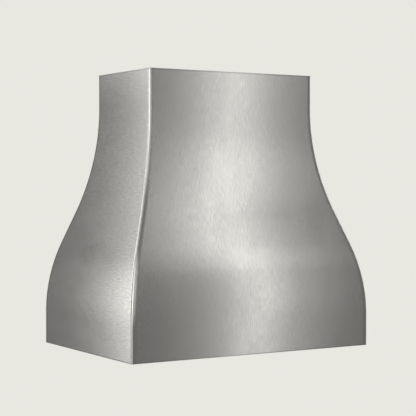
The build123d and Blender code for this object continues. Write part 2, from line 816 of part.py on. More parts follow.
# Squirrel-cage impellers with forward-curved blades
def blade_section():
    """One curved blade between the cage's inner and outer radius, at the top of the wheel."""
    root = impeller_radius - blade_depth + blade_inset
    tip = impeller_radius - blade_inset
    with BuildSketch() as blade:
        with BuildLine():
            hollow = RadiusArc((0, root), (blade_lead, tip), blade_curve)
            full = RadiusArc(
                (-blade_sheet, root), (blade_lead - blade_sheet, tip), blade_curve + blade_sheet
            )
            Line(hollow @ 0, full @ 0)
            Line(hollow @ 1, full @ 1)
        make_face()
    return blade.sketch


with BuildPart() as impeller_right:
    with BuildSketch(blower_plane.offset(impeller_x)):
        Circle(impeller_radius)
    extrude(amount=hub_disc)
    with BuildSketch(blower_plane.offset(impeller_x)):
        Circle(hub_radius)
    extrude(amount=hub_length)
    with BuildSketch(blower_plane.offset(impeller_x + impeller_length - end_ring)):
        Circle(impeller_radius)
        Circle(impeller_radius - blade_depth, mode=Mode.SUBTRACT)
    extrude(amount=end_ring)
    with BuildSketch(blower_plane.offset(impeller_x + hub_disc)):
        with PolarLocations(0, blade_count):
            add(blade_section())
    extrude(amount=impeller_length - hub_disc - end_ring)
    with BuildSketch(blower_plane.offset(impeller_x)):
        Circle(shaft_radius)
    extrude(amount=hub_length, mode=Mode.SUBTRACT)
save(impeller_right.part, "impeller_right")

with BuildPart() as impeller_left:
    mirror(impeller_right.part, about=Plane.YZ)
save(impeller_left.part, "impeller_left")

with BuildPart() as motor_shaft:
    with BuildSketch(blower_plane):
        Circle(shaft_radius)
    extrude(amount=shaft_half_length, both=True)
    chamfer(motor_shaft.edges().filter_by(GeomType.CIRCLE), shaft_chamfer)
save(motor_shaft.part, "motor_shaft")


# Motor with a boss and a bearing at each end, hung from the roof by a band
with BuildPart() as motor_can:
    with BuildSketch(blower_plane):
        Circle(motor_radius)
    extrude(amount=motor_half_length, both=True)
    fillet(motor_can.edges().filter_by(GeomType.CIRCLE), motor_edge)
    with BuildSketch(blower_plane):
        Circle(motor_boss_radius)
    extrude(amount=motor_boss_half_length, both=True)
    with BuildSketch(blower_plane):
        Circle(shaft_radius + shaft_clearance)
    extrude(amount=motor_boss_half_length, both=True, mode=Mode.SUBTRACT)
    for side in (-1, 1):
        with BuildSketch(blower_plane.offset(side * motor_boss_half_length)):
            Circle(bearing_radius)
        extrude(amount=-side * bearing_width, mode=Mode.SUBTRACT)
save(motor_can.part, "motor_can")

with BuildPart() as motor_bearings:
    for side in (-1, 1):
        with BuildSketch(blower_plane.offset(side * motor_boss_half_length)):
            Circle(bearing_radius)
            Circle(shaft_radius + shaft_clearance, mode=Mode.SUBTRACT)
        extrude(amount=-side * bearing_width)
save_group(motor_bearings.part.solids(), "motor_bearings")

band_outer = motor_radius + hanger_gap + hanger_sheet
with BuildPart() as motor_hanger:
    with BuildSketch(blower_plane):
        Circle(band_outer)
        Rectangle(hanger_sheet, blower_neck, align=(Align.CENTER, Align.MIN))
        with Locations((0, blower_neck)):
            Rectangle(hanger_foot, hanger_sheet, align=(Align.CENTER, Align.MAX))
        Circle(motor_radius + hanger_gap, mode=Mode.SUBTRACT)
    extrude(amount=hanger_width / 2, both=True)
save(motor_hanger.part, "motor_hanger")

with BuildPart() as capacitor:
    with BuildSketch(Plane.XY.offset(roof_under)):
        with Locations((capacitor_x, blower_y)):
            Circle(capacitor_radius)
    extrude(amount=-capacitor_length)
    chamfer(capacitor.faces().sort_by(Axis.Z)[0].edges(), capacitor_chamfer)
    with BuildSketch(Plane.XY.offset(roof_under)):
        with Locations((capacitor_x, blower_y)):
            Circle(capacitor_stud)
    extrude(amount=capacitor_stud_length)
save(capacitor.part, "capacitor")


# Transition from the two outlets to the round duct
transition_x = scroll_outer_x - scroll_sheet
transition_y = outlet_depth / 2


def transition_body(inset):
    """Hood shape from a rectangle on the roof to a circle, drawn in by inset."""
    with BuildPart() as body:
        with BuildSketch(Plane.XY.offset(roof_level)):
            Rectangle(2 * (transition_x - inset), 2 * (transition_y - inset))
        with BuildSketch(Plane.XY.offset(transition_top)):
            with BuildLine():
                for start in (45, 135, 225, 315):
                    CenterArc((0, 0), duct_radius - inset, start, 90)
            make_face()
        loft(ruled=True)
        with BuildSketch(Plane.XY.offset(transition_top)):
            Circle(duct_radius - inset)
        extrude(amount=transition_collar)
    return body.part


with BuildPart() as outlet_transition:
    add(transition_body(0))
    with BuildSketch(Plane.XY.offset(roof_level)):
        Rectangle(
            2 * (transition_x + transition_flange), 2 * (transition_y + transition_flange)
        )
    extrude(amount=duct_sheet)
    add(transition_body(duct_sheet), mode=Mode.SUBTRACT)
save(outlet_transition.part, "outlet_transition")

with BuildPart() as riser_duct:
    with BuildSketch(Plane.XY.offset(riser_bottom)):
        Circle(riser_bore + duct_sheet)
        Circle(riser_bore, mode=Mode.SUBTRACT)
    extrude(amount=riser_top - riser_bottom)
save(riser_duct.part, "riser_duct")


# Damper collar: a socket for the house duct above a neck that fits into the riser
with BuildPart() as damper_collar:
    with BuildSketch(Plane.XZ):
        with BuildLine():
            Polyline(
                (socket_bore, -plate_thickness),
                (socket_bore + collar_flange, -plate_thickness),
                (socket_bore + collar_flange, -plate_thickness - duct_sheet),
                (socket_bore + duct_sheet, -plate_thickness - duct_sheet),
                (socket_bore + duct_sheet, -socket_depth - duct_sheet),
                (duct_radius, -socket_depth - duct_sheet),
                (duct_radius, -collar_height),
                (neck_bore, -collar_height),
                (neck_bore, -socket_depth),
                (socket_bore, -socket_depth),
                close=True,
            )
        make_face()
    revolve(axis=Axis.Z)
    with BuildSketch(Plane.YZ):
        with Locations((0, -damper_depth)):
            Circle(damper_pin_radius + damper_pin_clearance)
    extrude(amount=2 * duct_radius, both=True, mode=Mode.SUBTRACT)
save(damper_collar.part, "damper_collar")

with BuildPart() as damper_pin:
    with BuildSketch(Plane.YZ):
        with Locations((0, -damper_depth)):
            Circle(damper_pin_radius)
    extrude(amount=duct_radius, both=True)
save(damper_pin.part, "damper_pin")

flap_under = -damper_depth - knuckle_radius
with BuildPart() as damper_seat:
    with BuildSketch(Plane.XY.offset(flap_under - seat_gap)):
        Circle(neck_bore)
        Circle(neck_bore - seat_lip, mode=Mode.SUBTRACT)
    extrude(amount=-seat_height)
save(damper_seat.part, "damper_seat")

knuckle_pitch = knuckle_length + knuckle_gap
flap_edge = knuckle_radius + damper_split
with BuildPart() as damper_flap_back:
    with BuildSketch(Plane.XY.offset(flap_under)):
        Circle(damper_radius)
        with Locations((0, flap_edge)):
            Rectangle(
                2 * duct_radius, 2 * duct_radius, align=(Align.CENTER, Align.MAX), mode=Mode.SUBTRACT
            )
        for index in range(0, knuckle_count, 2):
            with Locations(((index - (knuckle_count - 1) / 2) * knuckle_pitch, 0)):
                Rectangle(knuckle_length, 2 * flap_edge, align=(Align.CENTER, Align.MIN))
    extrude(amount=damper_sheet)
    for index in range(0, knuckle_count, 2):
        middle = (index - (knuckle_count - 1) / 2) * knuckle_pitch
        with BuildSketch(Plane.YZ.offset(middle)):
            with Locations((0, -damper_depth)):
                Circle(knuckle_radius)
                Circle(knuckle_radius - damper_sheet, mode=Mode.SUBTRACT)
        extrude(amount=knuckle_length / 2, both=True)
save(damper_flap_back.part, "damper_flap_back")

with BuildPart() as damper_flap_front:
    add(damper_flap_back.part.rotate(Axis.Z, 180))
save(damper_flap_front.part, "damper_flap_front")


# Junction box under the ceiling plate, with a bushing for the supply cable
with BuildPart() as junction_box:
    with BuildSketch(Plane.XY.offset(-plate_thickness)):
        with Locations((supply_x, 0)):
            RectangleRounded(junction_length, junction_depth, junction_round)
    extrude(amount=-junction_height)
    with BuildSketch(Plane.XY.offset(-plate_thickness - junction_sheet)):
        with Locations((supply_x, 0)):
            Rectangle(junction_length - 2 * junction_sheet, junction_depth - 2 * junction_sheet)
    extrude(amount=-(junction_height - 2 * junction_sheet), mode=Mode.SUBTRACT)
    with BuildSketch(Plane.XY.offset(-plate_thickness)):
        with Locations((supply_x, 0)):
            Circle(bushing_hole_radius)
    extrude(amount=-junction_sheet, mode=Mode.SUBTRACT)
save(junction_box.part, "junction_box")

bushing_under = -plate_thickness - junction_sheet
with BuildPart() as cable_bushing:
    with BuildSketch(Plane.XY):
        with Locations((supply_x, 0)):
            Circle(bushing_hole_radius - thread_gap)
    extrude(amount=-bushing_length)
    with BuildSketch(Plane.XY.offset(bushing_under)):
        with Locations((supply_x, 0)):
            Circle(bushing_hole_radius + bushing_flange)
    extrude(amount=-bushing_lip)
    with BuildSketch(Plane.XY):
        with Locations((supply_x, 0)):
            Circle(bushing_bore)
    extrude(amount=-bushing_length, mode=Mode.SUBTRACT)
save(cable_bushing.part, "cable_bushing")


# Controls on the front strip of the pan
with BuildPart() as control_box:
    with BuildSketch(Plane.XY.offset(pan_top)):
        with Locations((0, -lamp_y)):
            Rectangle(control_box_length, control_box_depth)
    extrude(amount=control_box_height)
    with BuildSketch(Plane.XY.offset(pan_top)):
        with Locations((0, -lamp_y)):
            Rectangle(
                control_box_length - 2 * junction_sheet, control_box_depth - 2 * junction_sheet
            )
    extrude(amount=control_box_height - junction_sheet, mode=Mode.SUBTRACT)
save(control_box.part, "control_box")


def control_switch(place):
    """Body on the pan with a round nose through it, bored for the stem."""
    with BuildPart() as switch:
        with BuildSketch(Plane.XY.offset(pan_top)):
            with Locations((place, -lamp_y)):
                Circle(switch_radius)
        extrude(amount=switch_height)
        with BuildSketch(Plane.XY.offset(pan_top)):
            with Locations((place, -lamp_y)):
                Circle(switch_bushing)
        extrude(amount=-switch_nose)
        with BuildSketch(Plane.XY.offset(pan_top - switch_nose)):
            with Locations((place, -lamp_y)):
                Circle(stem_radius + stem_clearance)
        extrude(amount=stem_length, mode=Mode.SUBTRACT)
    return switch.part


def control_knob(place):
    """Tapered knob with a hollow skirt, a pointer groove and the stem that turns in the switch."""
    knob_top = pan_ceiling - dial_sheet - knob_gap
    knob_plane = Plane(origin=(place, -lamp_y, knob_top), x_dir=(1, 0, 0), z_dir=(0, -1, 0))
    cap_radius = knob_radius - knob_taper
    core_level = knob_core - knob_height
    with BuildPart() as knob:
        with BuildSketch(knob_plane):
            with BuildLine():
                Polyline(
                    (0, stem_length + knob_gap + core_level),
                    (stem_radius, stem_length + knob_gap + core_level),
                    (stem_radius, core_level),
                    (cap_radius - knob_wall, core_level),
                    (knob_radius - knob_wall, 0),
                    (knob_radius, 0),
                    (cap_radius, knob_chamfer - knob_height),
                    (cap_radius - knob_chamfer, -knob_height),
                    (0, -knob_height),
                    close=True,
                )
            make_face()
        revolve(axis=Axis((place, -lamp_y, 0), (0, 0, 1)))
        with BuildSketch(Plane.XY.offset(knob_top - knob_height)):
            with Locations((place, -lamp_y - knob_radius)):
                Rectangle(pointer_width, 2 * pointer_length)
        extrude(amount=pointer_depth, mode=Mode.SUBTRACT)
    return knob.part


save(control_switch(-control_x), "fan_switch")
save(control_switch(control_x), "light_dimmer")
save(control_knob(-control_x), "fan_knob")
save(control_knob(control_x), "light_knob")

with BuildPart() as dial_plates:
    with BuildSketch(Plane.XY.offset(pan_ceiling)):
        with Locations(*control_grid):
            Circle(dial_radius)
            Circle(switch_bushing + switch_hole_gap, mode=Mode.SUBTRACT)
    extrude(amount=-dial_sheet)
save_group(dial_plates.part.solids(), "dial_plates")


# Four lamps: a can above the pan, a bezel below it and a lens in the bezel
with BuildPart() as lamp_housings:
    with BuildSketch(Plane.XY.offset(pan_ceiling)):
        with lamp_grid:
            Circle(lamp_radius)
    extrude(amount=lamp_height)
    with BuildSketch(Plane.XY.offset(pan_ceiling)):
        with lamp_grid:
            Circle(lamp_radius - lamp_sheet)
    extrude(amount=lamp_height - lamp_sheet, mode=Mode.SUBTRACT)
save_group(lamp_housings.part.solids(), "lamp_housings")

with BuildPart() as lamp_bezels:
    with BuildSketch(Plane.XY.offset(pan_ceiling)):
        with lamp_grid:
            Circle(bezel_radius)
    extrude(amount=-bezel_height)
    chamfer(lamp_bezels.faces().group_by(Axis.Z)[0].edges(), bezel_chamfer)
    with BuildSketch(Plane.XY.offset(pan_ceiling)):
        with lamp_grid:
            Circle(lens_radius - bezel_lap)
    extrude(amount=-bezel_height, mode=Mode.SUBTRACT)
save_group(lamp_bezels.part.solids(), "lamp_bezels")

with BuildPart() as lamp_lenses:
    with BuildSketch(Plane.XY.offset(pan_ceiling)):
        with lamp_grid:
            Circle(lens_radius - lens_gap)
    extrude(amount=lens_height)
save_group(lamp_lenses.part.solids(), "lamp_lenses")
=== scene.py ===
"""Looks of a ceiling-hung, bell-shaped range hood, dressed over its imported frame.

Every length is in metres, in the frame of the solids: +Z up, front towards -Y and the origin in
the middle of the ceiling face.
"""
from __future__ import annotations

import fnmatch
import logging
import math
from dataclasses import dataclass, field
from enum import Enum

import bmesh
import bpy
import numpy as np
from mathutils import Matrix, Vector

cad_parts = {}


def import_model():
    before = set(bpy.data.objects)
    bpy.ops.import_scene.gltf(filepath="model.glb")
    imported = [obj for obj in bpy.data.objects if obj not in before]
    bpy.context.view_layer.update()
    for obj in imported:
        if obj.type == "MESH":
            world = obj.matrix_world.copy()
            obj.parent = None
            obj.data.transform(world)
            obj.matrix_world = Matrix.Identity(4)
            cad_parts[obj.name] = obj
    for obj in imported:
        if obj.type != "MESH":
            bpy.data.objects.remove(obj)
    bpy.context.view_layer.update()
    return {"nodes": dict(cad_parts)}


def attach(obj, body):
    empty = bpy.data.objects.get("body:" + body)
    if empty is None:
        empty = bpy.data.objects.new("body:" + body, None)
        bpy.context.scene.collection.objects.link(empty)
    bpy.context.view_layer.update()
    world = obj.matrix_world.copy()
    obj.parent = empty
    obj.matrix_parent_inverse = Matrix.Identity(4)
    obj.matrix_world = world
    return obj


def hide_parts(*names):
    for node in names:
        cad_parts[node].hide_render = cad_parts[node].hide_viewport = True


log = logging.getLogger("hood")

Array = np.ndarray
Material = bpy.types.Material
Socket = bpy.types.NodeSocket
Pair = tuple[float, float]
Triple = tuple[float, float, float]
Colour = tuple[float, float, float]


# Meshes


def grid(*parts: Array | float) -> Array:
    """Points of a grid, whose coordinates are each given as a column, a row or a whole grid."""
    return np.stack(np.broadcast_arrays(*parts), axis=2)


def full_turn(steps: int) -> Array:
    """Even steps round one turn, in radians."""
    return np.linspace(0, 2 * math.pi, steps, endpoint=False)


@dataclass
class Patch:
    """One grid of a piece: rows by columns of points, with the finish and the pattern they carry."""

    points: Array
    pattern: Array | None = None
    finish: int = 0
    wrap: bool = False

    def __post_init__(self) -> None:
        """Fills in zeros where no pattern is given."""
        if self.pattern is None:
            self.pattern = np.zeros(self.points.shape[:2] + (2,))

    def faces(self) -> Array:
        """Index quads of the grid, joined round where it wraps.

        Returns:
            An array of four indices a face.
        """
        rows, columns = self.points.shape[:2]
        index = np.arange(rows * columns).reshape(rows, columns)
        if self.wrap:
            index = np.hstack([index, index[:, :1]])
        corners = (index[:-1, :-1], index[:-1, 1:], index[1:, 1:], index[1:, :-1])
        return np.stack([corner.ravel() for corner in corners], axis=1)


def join_patches(name: str, patches: list[Patch]) -> bpy.types.Mesh:
    """Joins grids into one mesh, merges their seams and turns the faces outwards.

    Args:
        name: Name of the mesh.
        patches: The grids it is made of.

    Returns:
        The mesh, smooth, with its pattern map and the finish number of each face.
    """
    points = np.concatenate([patch.points.reshape(-1, 3) for patch in patches])
    starts = np.cumsum([0] + [patch.points[..., 0].size for patch in patches])
    faces = np.concatenate([patch.faces() + start for patch, start in zip(patches, starts)])
    pattern = np.concatenate([patch.pattern.reshape(-1, 2) for patch in patches])
    kinds = np.concatenate([np.full(len(patch.faces()), patch.finish) for patch in patches])
    mesh = bpy.data.meshes.new(name)
    mesh.from_pydata(points.tolist(), [], faces.tolist(), shade_flat=False)
    layer = mesh.uv_layers.new(name="pattern")
    layer.data.foreach_set("uv", pattern[faces.ravel()].astype(np.float32).ravel())
    mesh.polygons.foreach_set("material_index", kinds.astype(np.int32))
    merged = bmesh.new()
    merged.from_mesh(mesh)
    bmesh.ops.remove_doubles(merged, verts=merged.verts, dist=1e-6)
    bmesh.ops.recalc_face_normals(merged, faces=merged.faces)
    merged.to_mesh(mesh)
    merged.free()
    return mesh


def add_object(name: str, data: bpy.types.ID) -> bpy.types.Object:
    """Makes an object and links it to the scene.

    Args:
        name: Name of the object.
        data: Its mesh, lamp, camera or text.

    Returns:
        The object.
    """
    thing = bpy.data.objects.new(name, data)
    bpy.context.scene.collection.objects.link(thing)
    return thing


def build_piece(
    name: str, patches: list[Patch], finishes: list[Material], body: str = "hood",
    replaces: tuple[str, ...] = (), crease: float = 35.0,
) -> None:
    """Makes a closed piece from grids and puts it on a body.

    Args:
        name: Name of the piece.
        patches: The grids it is made of.
        finishes: Its materials, in the order that the patches number them.
        body: The body that it rides on.
        replaces: Nodes that it stands for.
        crease: Angle in degrees above which an edge stays sharp.
    """
    mesh = join_patches(name, patches)
    mesh.set_sharp_from_angle(angle=math.radians(crease))
    for finish in finishes:
        mesh.materials.append(finish)
    piece = add_object(name, mesh)
    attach(piece, body)
    if replaces:
        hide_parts(*replaces)
    log.info("%s: %d faces on %s", name, len(mesh.polygons), body)


def revolve(profile: Array, centre: Pair, sectors: int = 64, finish: int = 0) -> Patch:
    """Turns a profile about an upright axis.

    A point of the profile at radius r and level z becomes a ring: centre plus r times the cosine
    and sine of the turn, at level z.

    Args:
        profile: Radius and level of each point.
        centre: Place of the axis.
        sectors: Steps round the ring.
        finish: Number of the material.

    Returns:
        The grid, with radius and level as its pattern.
    """
    turn = full_turn(sectors)
    radius, level = profile[:, :1], profile[:, 1:]
    points = grid(centre[0] + radius * np.cos(turn), centre[1] + radius * np.sin(turn), level)
    return Patch(points, grid(radius, level + 0 * turn), finish, wrap=True)


def slab(outline: Array, base: float, rise: Pair, finish: int = 0) -> Patch:
    """A thin plate: an outline at two levels, drawn in to its middle below and above.

    Args:
        outline: Places round the plate.
        base: Level that its faces are counted from.
        rise: Its lower and its upper face over that.
        finish: Number of the material.

    Returns:
        The grid of the plate.
    """
    middle = outline.mean(axis=0) + 0 * outline
    rows = np.stack([middle, outline, outline, middle])
    level = base + np.repeat(rise, 2)[:, None]
    return Patch(grid(rows[..., 0], rows[..., 1], level), finish=finish, wrap=True)


def round_corners(corners: list[Triple], steps: int = 5) -> Array:
    """A profile through corners, each rounded by its own radius.

    Points are complex numbers. Each corner becomes an arc that touches both its sides: its centre
    lies on the halving line, at the radius over the sine of half the angle.

    Args:
        corners: Two coordinates and a radius for each corner, with radius 0 at both ends.
        steps: Points on each arc.

    Returns:
        The points.
    """
    out = []
    for index, (x, y, radius) in enumerate(corners):
        here = complex(x, y)
        if radius == 0.0:
            out.append([here])
            continue
        sides = [complex(*corners[index + step][:2]) - here for step in (-1, 1)]
        before, after = (side / abs(side) for side in sides)
        half = abs(np.angle(before / after)) / 2
        middle = here + (before + after) / abs(before + after) * radius / math.sin(half)
        start, end = (here + side * radius / math.tan(half) - middle for side in (before, after))
        out.append(middle + start * np.exp(1j * np.angle(end / start) * np.linspace(0, 1, steps)))
    line = np.concatenate(out)
    return np.stack([line.real, line.imag], axis=1)


def channel(middle: float, base: float, turn: int, span: Pair, size: Triple) -> list[Patch]:
    """A bent U channel along Y: one sheet with rounded bends, open upwards or downwards.

    Its outer bends have a radius of 2.2 sheets, and its inner line lies one sheet inside.

    Args:
        middle: Place of the channel across.
        base: Level of its closed side.
        turn: 1 if it opens upwards or -1 if downwards.
        span: Where it starts and ends along Y.
        size: Width, height of the lips and sheet thickness.

    Returns:
        The grids of the channel.
    """
    width, lip, sheet = size
    half, bend = width / 2, 2.2 * sheet
    inside, small = half - sheet, bend - sheet
    outer = round_corners([(-half, lip, 0), (-half, 0, bend), (half, 0, bend), (half, lip, 0)])
    inner = round_corners([
        (-inside, lip, 0), (-inside, sheet, small), (inside, sheet, small), (inside, lip, 0)])
    loop = np.concatenate([outer, inner[::-1], outer[:1]])
    along = np.array(span)
    points = grid(middle + loop[:, :1], along, base + turn * loop[:, 1:])
    girth = np.concatenate([[0.0], np.cumsum(np.hypot(*np.diff(loop, axis=0).T))])[:, None]
    count = len(outer)
    caps = [Patch(np.stack([points[:count, end], points[count:2 * count, end][::-1]])) for end in (0, 1)]
    return [Patch(points, grid(girth, along))] + caps


# Materials


class Axis(Enum):
    """Direction of a pattern, as a column of the object's coordinates."""

    X = 0
    Z = 2


def shade(colour: Colour, factor: float) -> Colour:
    """A colour made lighter or darker by a factor, kept within 0 and 1."""
    return tuple(min(1.0, max(0.0, part * factor)) for part in colour)


class Graph:
    """A material's nodes, added and linked with short calls."""

    def __init__(self, tree: bpy.types.NodeTree) -> None:
        """Starts from an empty tree."""
        self.tree = tree
        self.tree.nodes.clear()

    def add(self, kind: str, inputs: dict | None = None, **settings: object) -> bpy.types.Node:
        """Adds a node, sets its options, and sets or links its inputs.

        Args:
            kind: Blender's name of the node, without the ShaderNode that it starts with.
            inputs: Socket names or numbers, with a value or the output that feeds each.
            **settings: Options of the node.

        Returns:
            The node.
        """
        node = self.tree.nodes.new("ShaderNode" + kind)
        for key, value in settings.items():
            setattr(node, key, value)
        for key, value in (inputs or {}).items():
            if isinstance(value, Socket):
                self.tree.links.new(value, node.inputs[key])
            else:
                node.inputs[key].default_value = value
        return node

    def place(self) -> Socket:
        """Coordinates of the object, in metres."""
        return self.add("TexCoord").outputs["Object"]

    def pattern(self) -> Socket:
        """The piece's own pattern map, in metres."""
        return self.add("UVMap", uv_map="pattern").outputs[0]

    def math(self, operation: str, *values: float | Socket) -> Socket:
        """One sum of numbers or outputs, by the name of its operation."""
        return self.add("Math", dict(enumerate(values)), operation=operation).outputs[0]

    def blend(self, first: Socket, second: Socket, share: float) -> Socket:
        """A share of one value and the rest of another."""
        return self.math("MULTIPLY_ADD", first, share, self.math("MULTIPLY", second, 1.0 - share))

    def ramp(self, value: Socket, start: float = 0.0, end: float = 1.0, low: float = 0.3,
             high: float = 0.7) -> Socket:
        """Carries a value from one span to another and holds it there.

        Args:
            value: The output to carry over.
            start: What the low end becomes.
            end: What the high end becomes.
            low: Where its own span starts, which for noise is about 0.3.
            high: Where its own span ends, which for noise is about 0.7.

        Returns:
            The output.
        """
        numbers = {"Value": value, "From Min": low, "From Max": high, "To Min": start, "To Max": end}
        return self.add("MapRange", numbers, clamp=True).outputs["Result"]

    def noise(self, place: Socket, stretch: Triple, detail: float = 3.0) -> Socket:
        """Noise whose grain is stretched by a factor along each axis.

        Args:
            place: Coordinates of the surface.
            stretch: Grains to a metre along each axis.
            detail: Octaves of finer noise.

        Returns:
            The noise, about one half on average.
        """
        scaled = self.add("Mapping", {"Vector": place, "Scale": stretch}).outputs[0]
        numbers = {"Vector": scaled, "Scale": 1.0, "Detail": detail, "Roughness": 0.6}
        return self.add("TexNoise", numbers).outputs[0]

    def mix(self, share: Socket, first: Socket | Colour, second: Colour) -> Socket:
        """Mixes two colours by a share from 0 to 1."""
        inputs = {0: share, 6: first if isinstance(first, Socket) else (*first, 1.0), 7: (*second, 1.0)}
        return self.add("Mix", inputs, data_type="RGBA").outputs[2]

    def tones(self, value: Socket, colour: Colour, dark: float, light: float) -> Socket:
        """A colour times a factor that goes from dark to light with the value."""
        return self.mix(value, shade(colour, dark), shade(colour, light))

    def bump(self, height: Socket, depth: float, strength: float) -> Socket:
        """Relief of a given depth in metres."""
        numbers = {"Height": height, "Distance": depth, "Strength": strength}
        return self.add("Bump", numbers).outputs["Normal"]

    def surface(self, colour: Socket, rough: Socket, relief: Socket, metal: float = 1.0,
                **more: float | Socket) -> None:
        """Ends the tree in a surface.

        Args:
            colour: Its colour.
            rough: Its roughness.
            relief: Its bumped normal.
            metal: 1 for metal or 0 for anything else.
            **more: Other inputs, with an underscore for each space in their names.
        """
        inputs = {"Base Color": colour, "Roughness": rough, "Normal": relief, "Metallic": metal}
        inputs |= {key.replace("_", " "): value for key, value in more.items()}
        self.close(self.add("BsdfPrincipled", inputs).outputs[0])

    def close(self, shader: Socket) -> None:
        """Ends the tree in its output."""
        self.add("OutputMaterial", {"Surface": shader})


@dataclass(frozen=True)
class Finish:
    """A material. Each kind of finish draws the nodes of its own look."""

    name: str

    def make(self) -> Material:
        """Builds the material.

        Returns:
            The material.
        """
        material = bpy.data.materials.new(self.name)
        material.use_nodes = True
        self.draw(Graph(material.node_tree))
        return material

    def draw(self, graph: Graph) -> None:
        """Adds the look's nodes to an empty graph."""
        raise NotImplementedError


@dataclass(frozen=True)
class BrushedSkin(Finish):
    """Brushed sheet whose scratches follow one direction of the piece's own pattern map.

    The map's first number runs level over the sheet and its second down the curve, both in metres.
    Scratches are two noises, one of hairs and one of streaks, both drawn out along the grain, each
    given by its grains to a metre across and along. The highlight spreads across the grain. A dark
    line of painted shade, standing in for the shading of the rounded sheet edges, fades out from
    the upper and lower edge.
    """

    upright_grain: bool
    colour: Colour = (0.606, 0.592, 0.568)
    roughness: float = 0.22
    anisotropy: float = 0.6
    contrast: float = 0.09
    edge_top: float = 0.0
    edge_bottom: float = 1.0
    edge_fade: Pair = (0.0008, 0.0042)
    edge_share: float = 0.55
    edge_shade: float = 0.42
    hair: Pair = (1400.0, 25.0)
    streak: Pair = (310.0, 42.0)
    cloud: Pair = (14.0, 5.0)

    def stretch(self, grains: Pair) -> Triple:
        """Grains across and along the scratches, in the order of the map."""
        return (*grains, 1.0) if self.upright_grain else (*grains[::-1], 1.0)

    def draw(self, graph: Graph) -> None:
        """Adds scratches, painted shade along the edges and the drawn-out highlight.

        Args:
            graph: The empty graph.
        """
        place = graph.pattern()
        hair = graph.noise(place, self.stretch(self.hair))
        streak = graph.noise(place, self.stretch(self.streak), 2.0)
        cloud = graph.noise(place, self.stretch(self.cloud), 2.0)
        scratch = graph.blend(hair, streak, 0.35)
        down = graph.add("SeparateXYZ", {"Vector": place}).outputs[1]
        # Painted shade: the colour darkens within a few millimetres of the upper and lower edges, standing in
        # for the shading of the rounded sheet edges.
        from_top = graph.ramp(graph.math("SUBTRACT", down, self.edge_top), 1.0, 0.0, *self.edge_fade)
        to_bottom = graph.ramp(graph.math("SUBTRACT", self.edge_bottom, down), 1.0, 0.0, *self.edge_fade)
        edge = graph.math("MULTIPLY", graph.math("MAXIMUM", from_top, to_bottom), self.edge_share)
        light = graph.ramp(scratch, 0.0, 1.0, 0.34, 0.66)
        plain = graph.tones(light, self.colour, 1.0 - self.contrast, 1.0 + self.contrast)
        # The painted edge shade is mixed into the colour here.
        colour = graph.mix(edge, plain, shade(self.colour, self.edge_shade))
        fine = graph.ramp(scratch, self.roughness + 0.005, self.roughness - 0.005, 0.25, 0.75)
        rough = graph.math("ADD", fine, graph.ramp(cloud, -0.015, 0.015))
        tangent = graph.add("Tangent", direction_type="UV_MAP", uv_map="pattern").outputs[0]
        graph.surface(
            colour, rough, graph.bump(hair, 0.0000001, 0.1), Anisotropic=self.anisotropy,
            Anisotropic_Rotation=0.0 if self.upright_grain else 0.25, Tangent=tangent)


@dataclass(frozen=True)
class RolledMetal(Finish):
    """Bare or plated metal with fine drawn lines, soft clouds and darker hollows.

    Lines are noise drawn out along one axis of the object, clouds are noise of a few to the metre.
    """

    colour: Colour
    roughness: float
    lines: float = 900.0
    contrast: float = 0.07
    grain: Axis = Axis.X
    tarnish: Colour | None = None

    def draw(self, graph: Graph) -> None:
        """Adds lines and clouds to colour, roughness and relief.

        Args:
            graph: The empty graph.
        """
        stretch = [self.lines] * 3
        stretch[self.grain.value] = self.lines / 90.0
        place = graph.place()
        line = graph.noise(place, tuple(stretch))
        cloud = graph.noise(place, (9.0,) * 3, 4.0)
        dark = self.tarnish or shade(self.colour, 1.0 - self.contrast)
        light = shade(self.colour, 1.0 + self.contrast)
        colour = graph.mix(graph.ramp(graph.blend(line, cloud, 0.6)), dark, light)
        rough = graph.ramp(graph.blend(line, cloud, 0.5), self.roughness + 0.06, self.roughness - 0.04)
        graph.surface(colour, rough, graph.bump(line, 0.00002, 0.4))


@dataclass(frozen=True)
class Spangle(Finish):
    """Galvanised sheet: zinc flowers of many sizes, each with its own tone, gloss and frost lines.

    Each flower is one cell of a cell pattern, whose places are bent by noise.
    """

    colour: Colour = (0.60, 0.615, 0.63)
    cells: float = 85.0
    bend: float = 0.012

    def draw(self, graph: Graph) -> None:
        """Adds flowers and frost to colour, roughness and relief.

        Args:
            graph: The empty graph.
        """
        place = graph.place()
        wander = graph.add("TexNoise", {"Vector": place, "Scale": 60.0, "Detail": 2.0}).outputs[1]
        inputs = {0: wander, 1: (self.bend,) * 3, 2: place}
        bent = graph.add("VectorMath", inputs, operation="MULTIPLY_ADD").outputs[0]
        flower = graph.add("TexVoronoi", {"Vector": bent, "Scale": self.cells})
        tone = graph.add("SeparateColor", {"Color": flower.outputs["Color"]}).outputs[0]
        frost = graph.noise(place, (700.0, 700.0, 240.0))
        light = graph.blend(tone, frost, 0.7)
        colour = graph.tones(graph.ramp(light, 0.0, 1.0, 0.1, 0.9), self.colour, 0.72, 1.18)
        rough = graph.ramp(light, 0.46, 0.27, 0.1, 0.9)
        graph.surface(colour, rough, graph.bump(frost, 0.00003, 0.4))


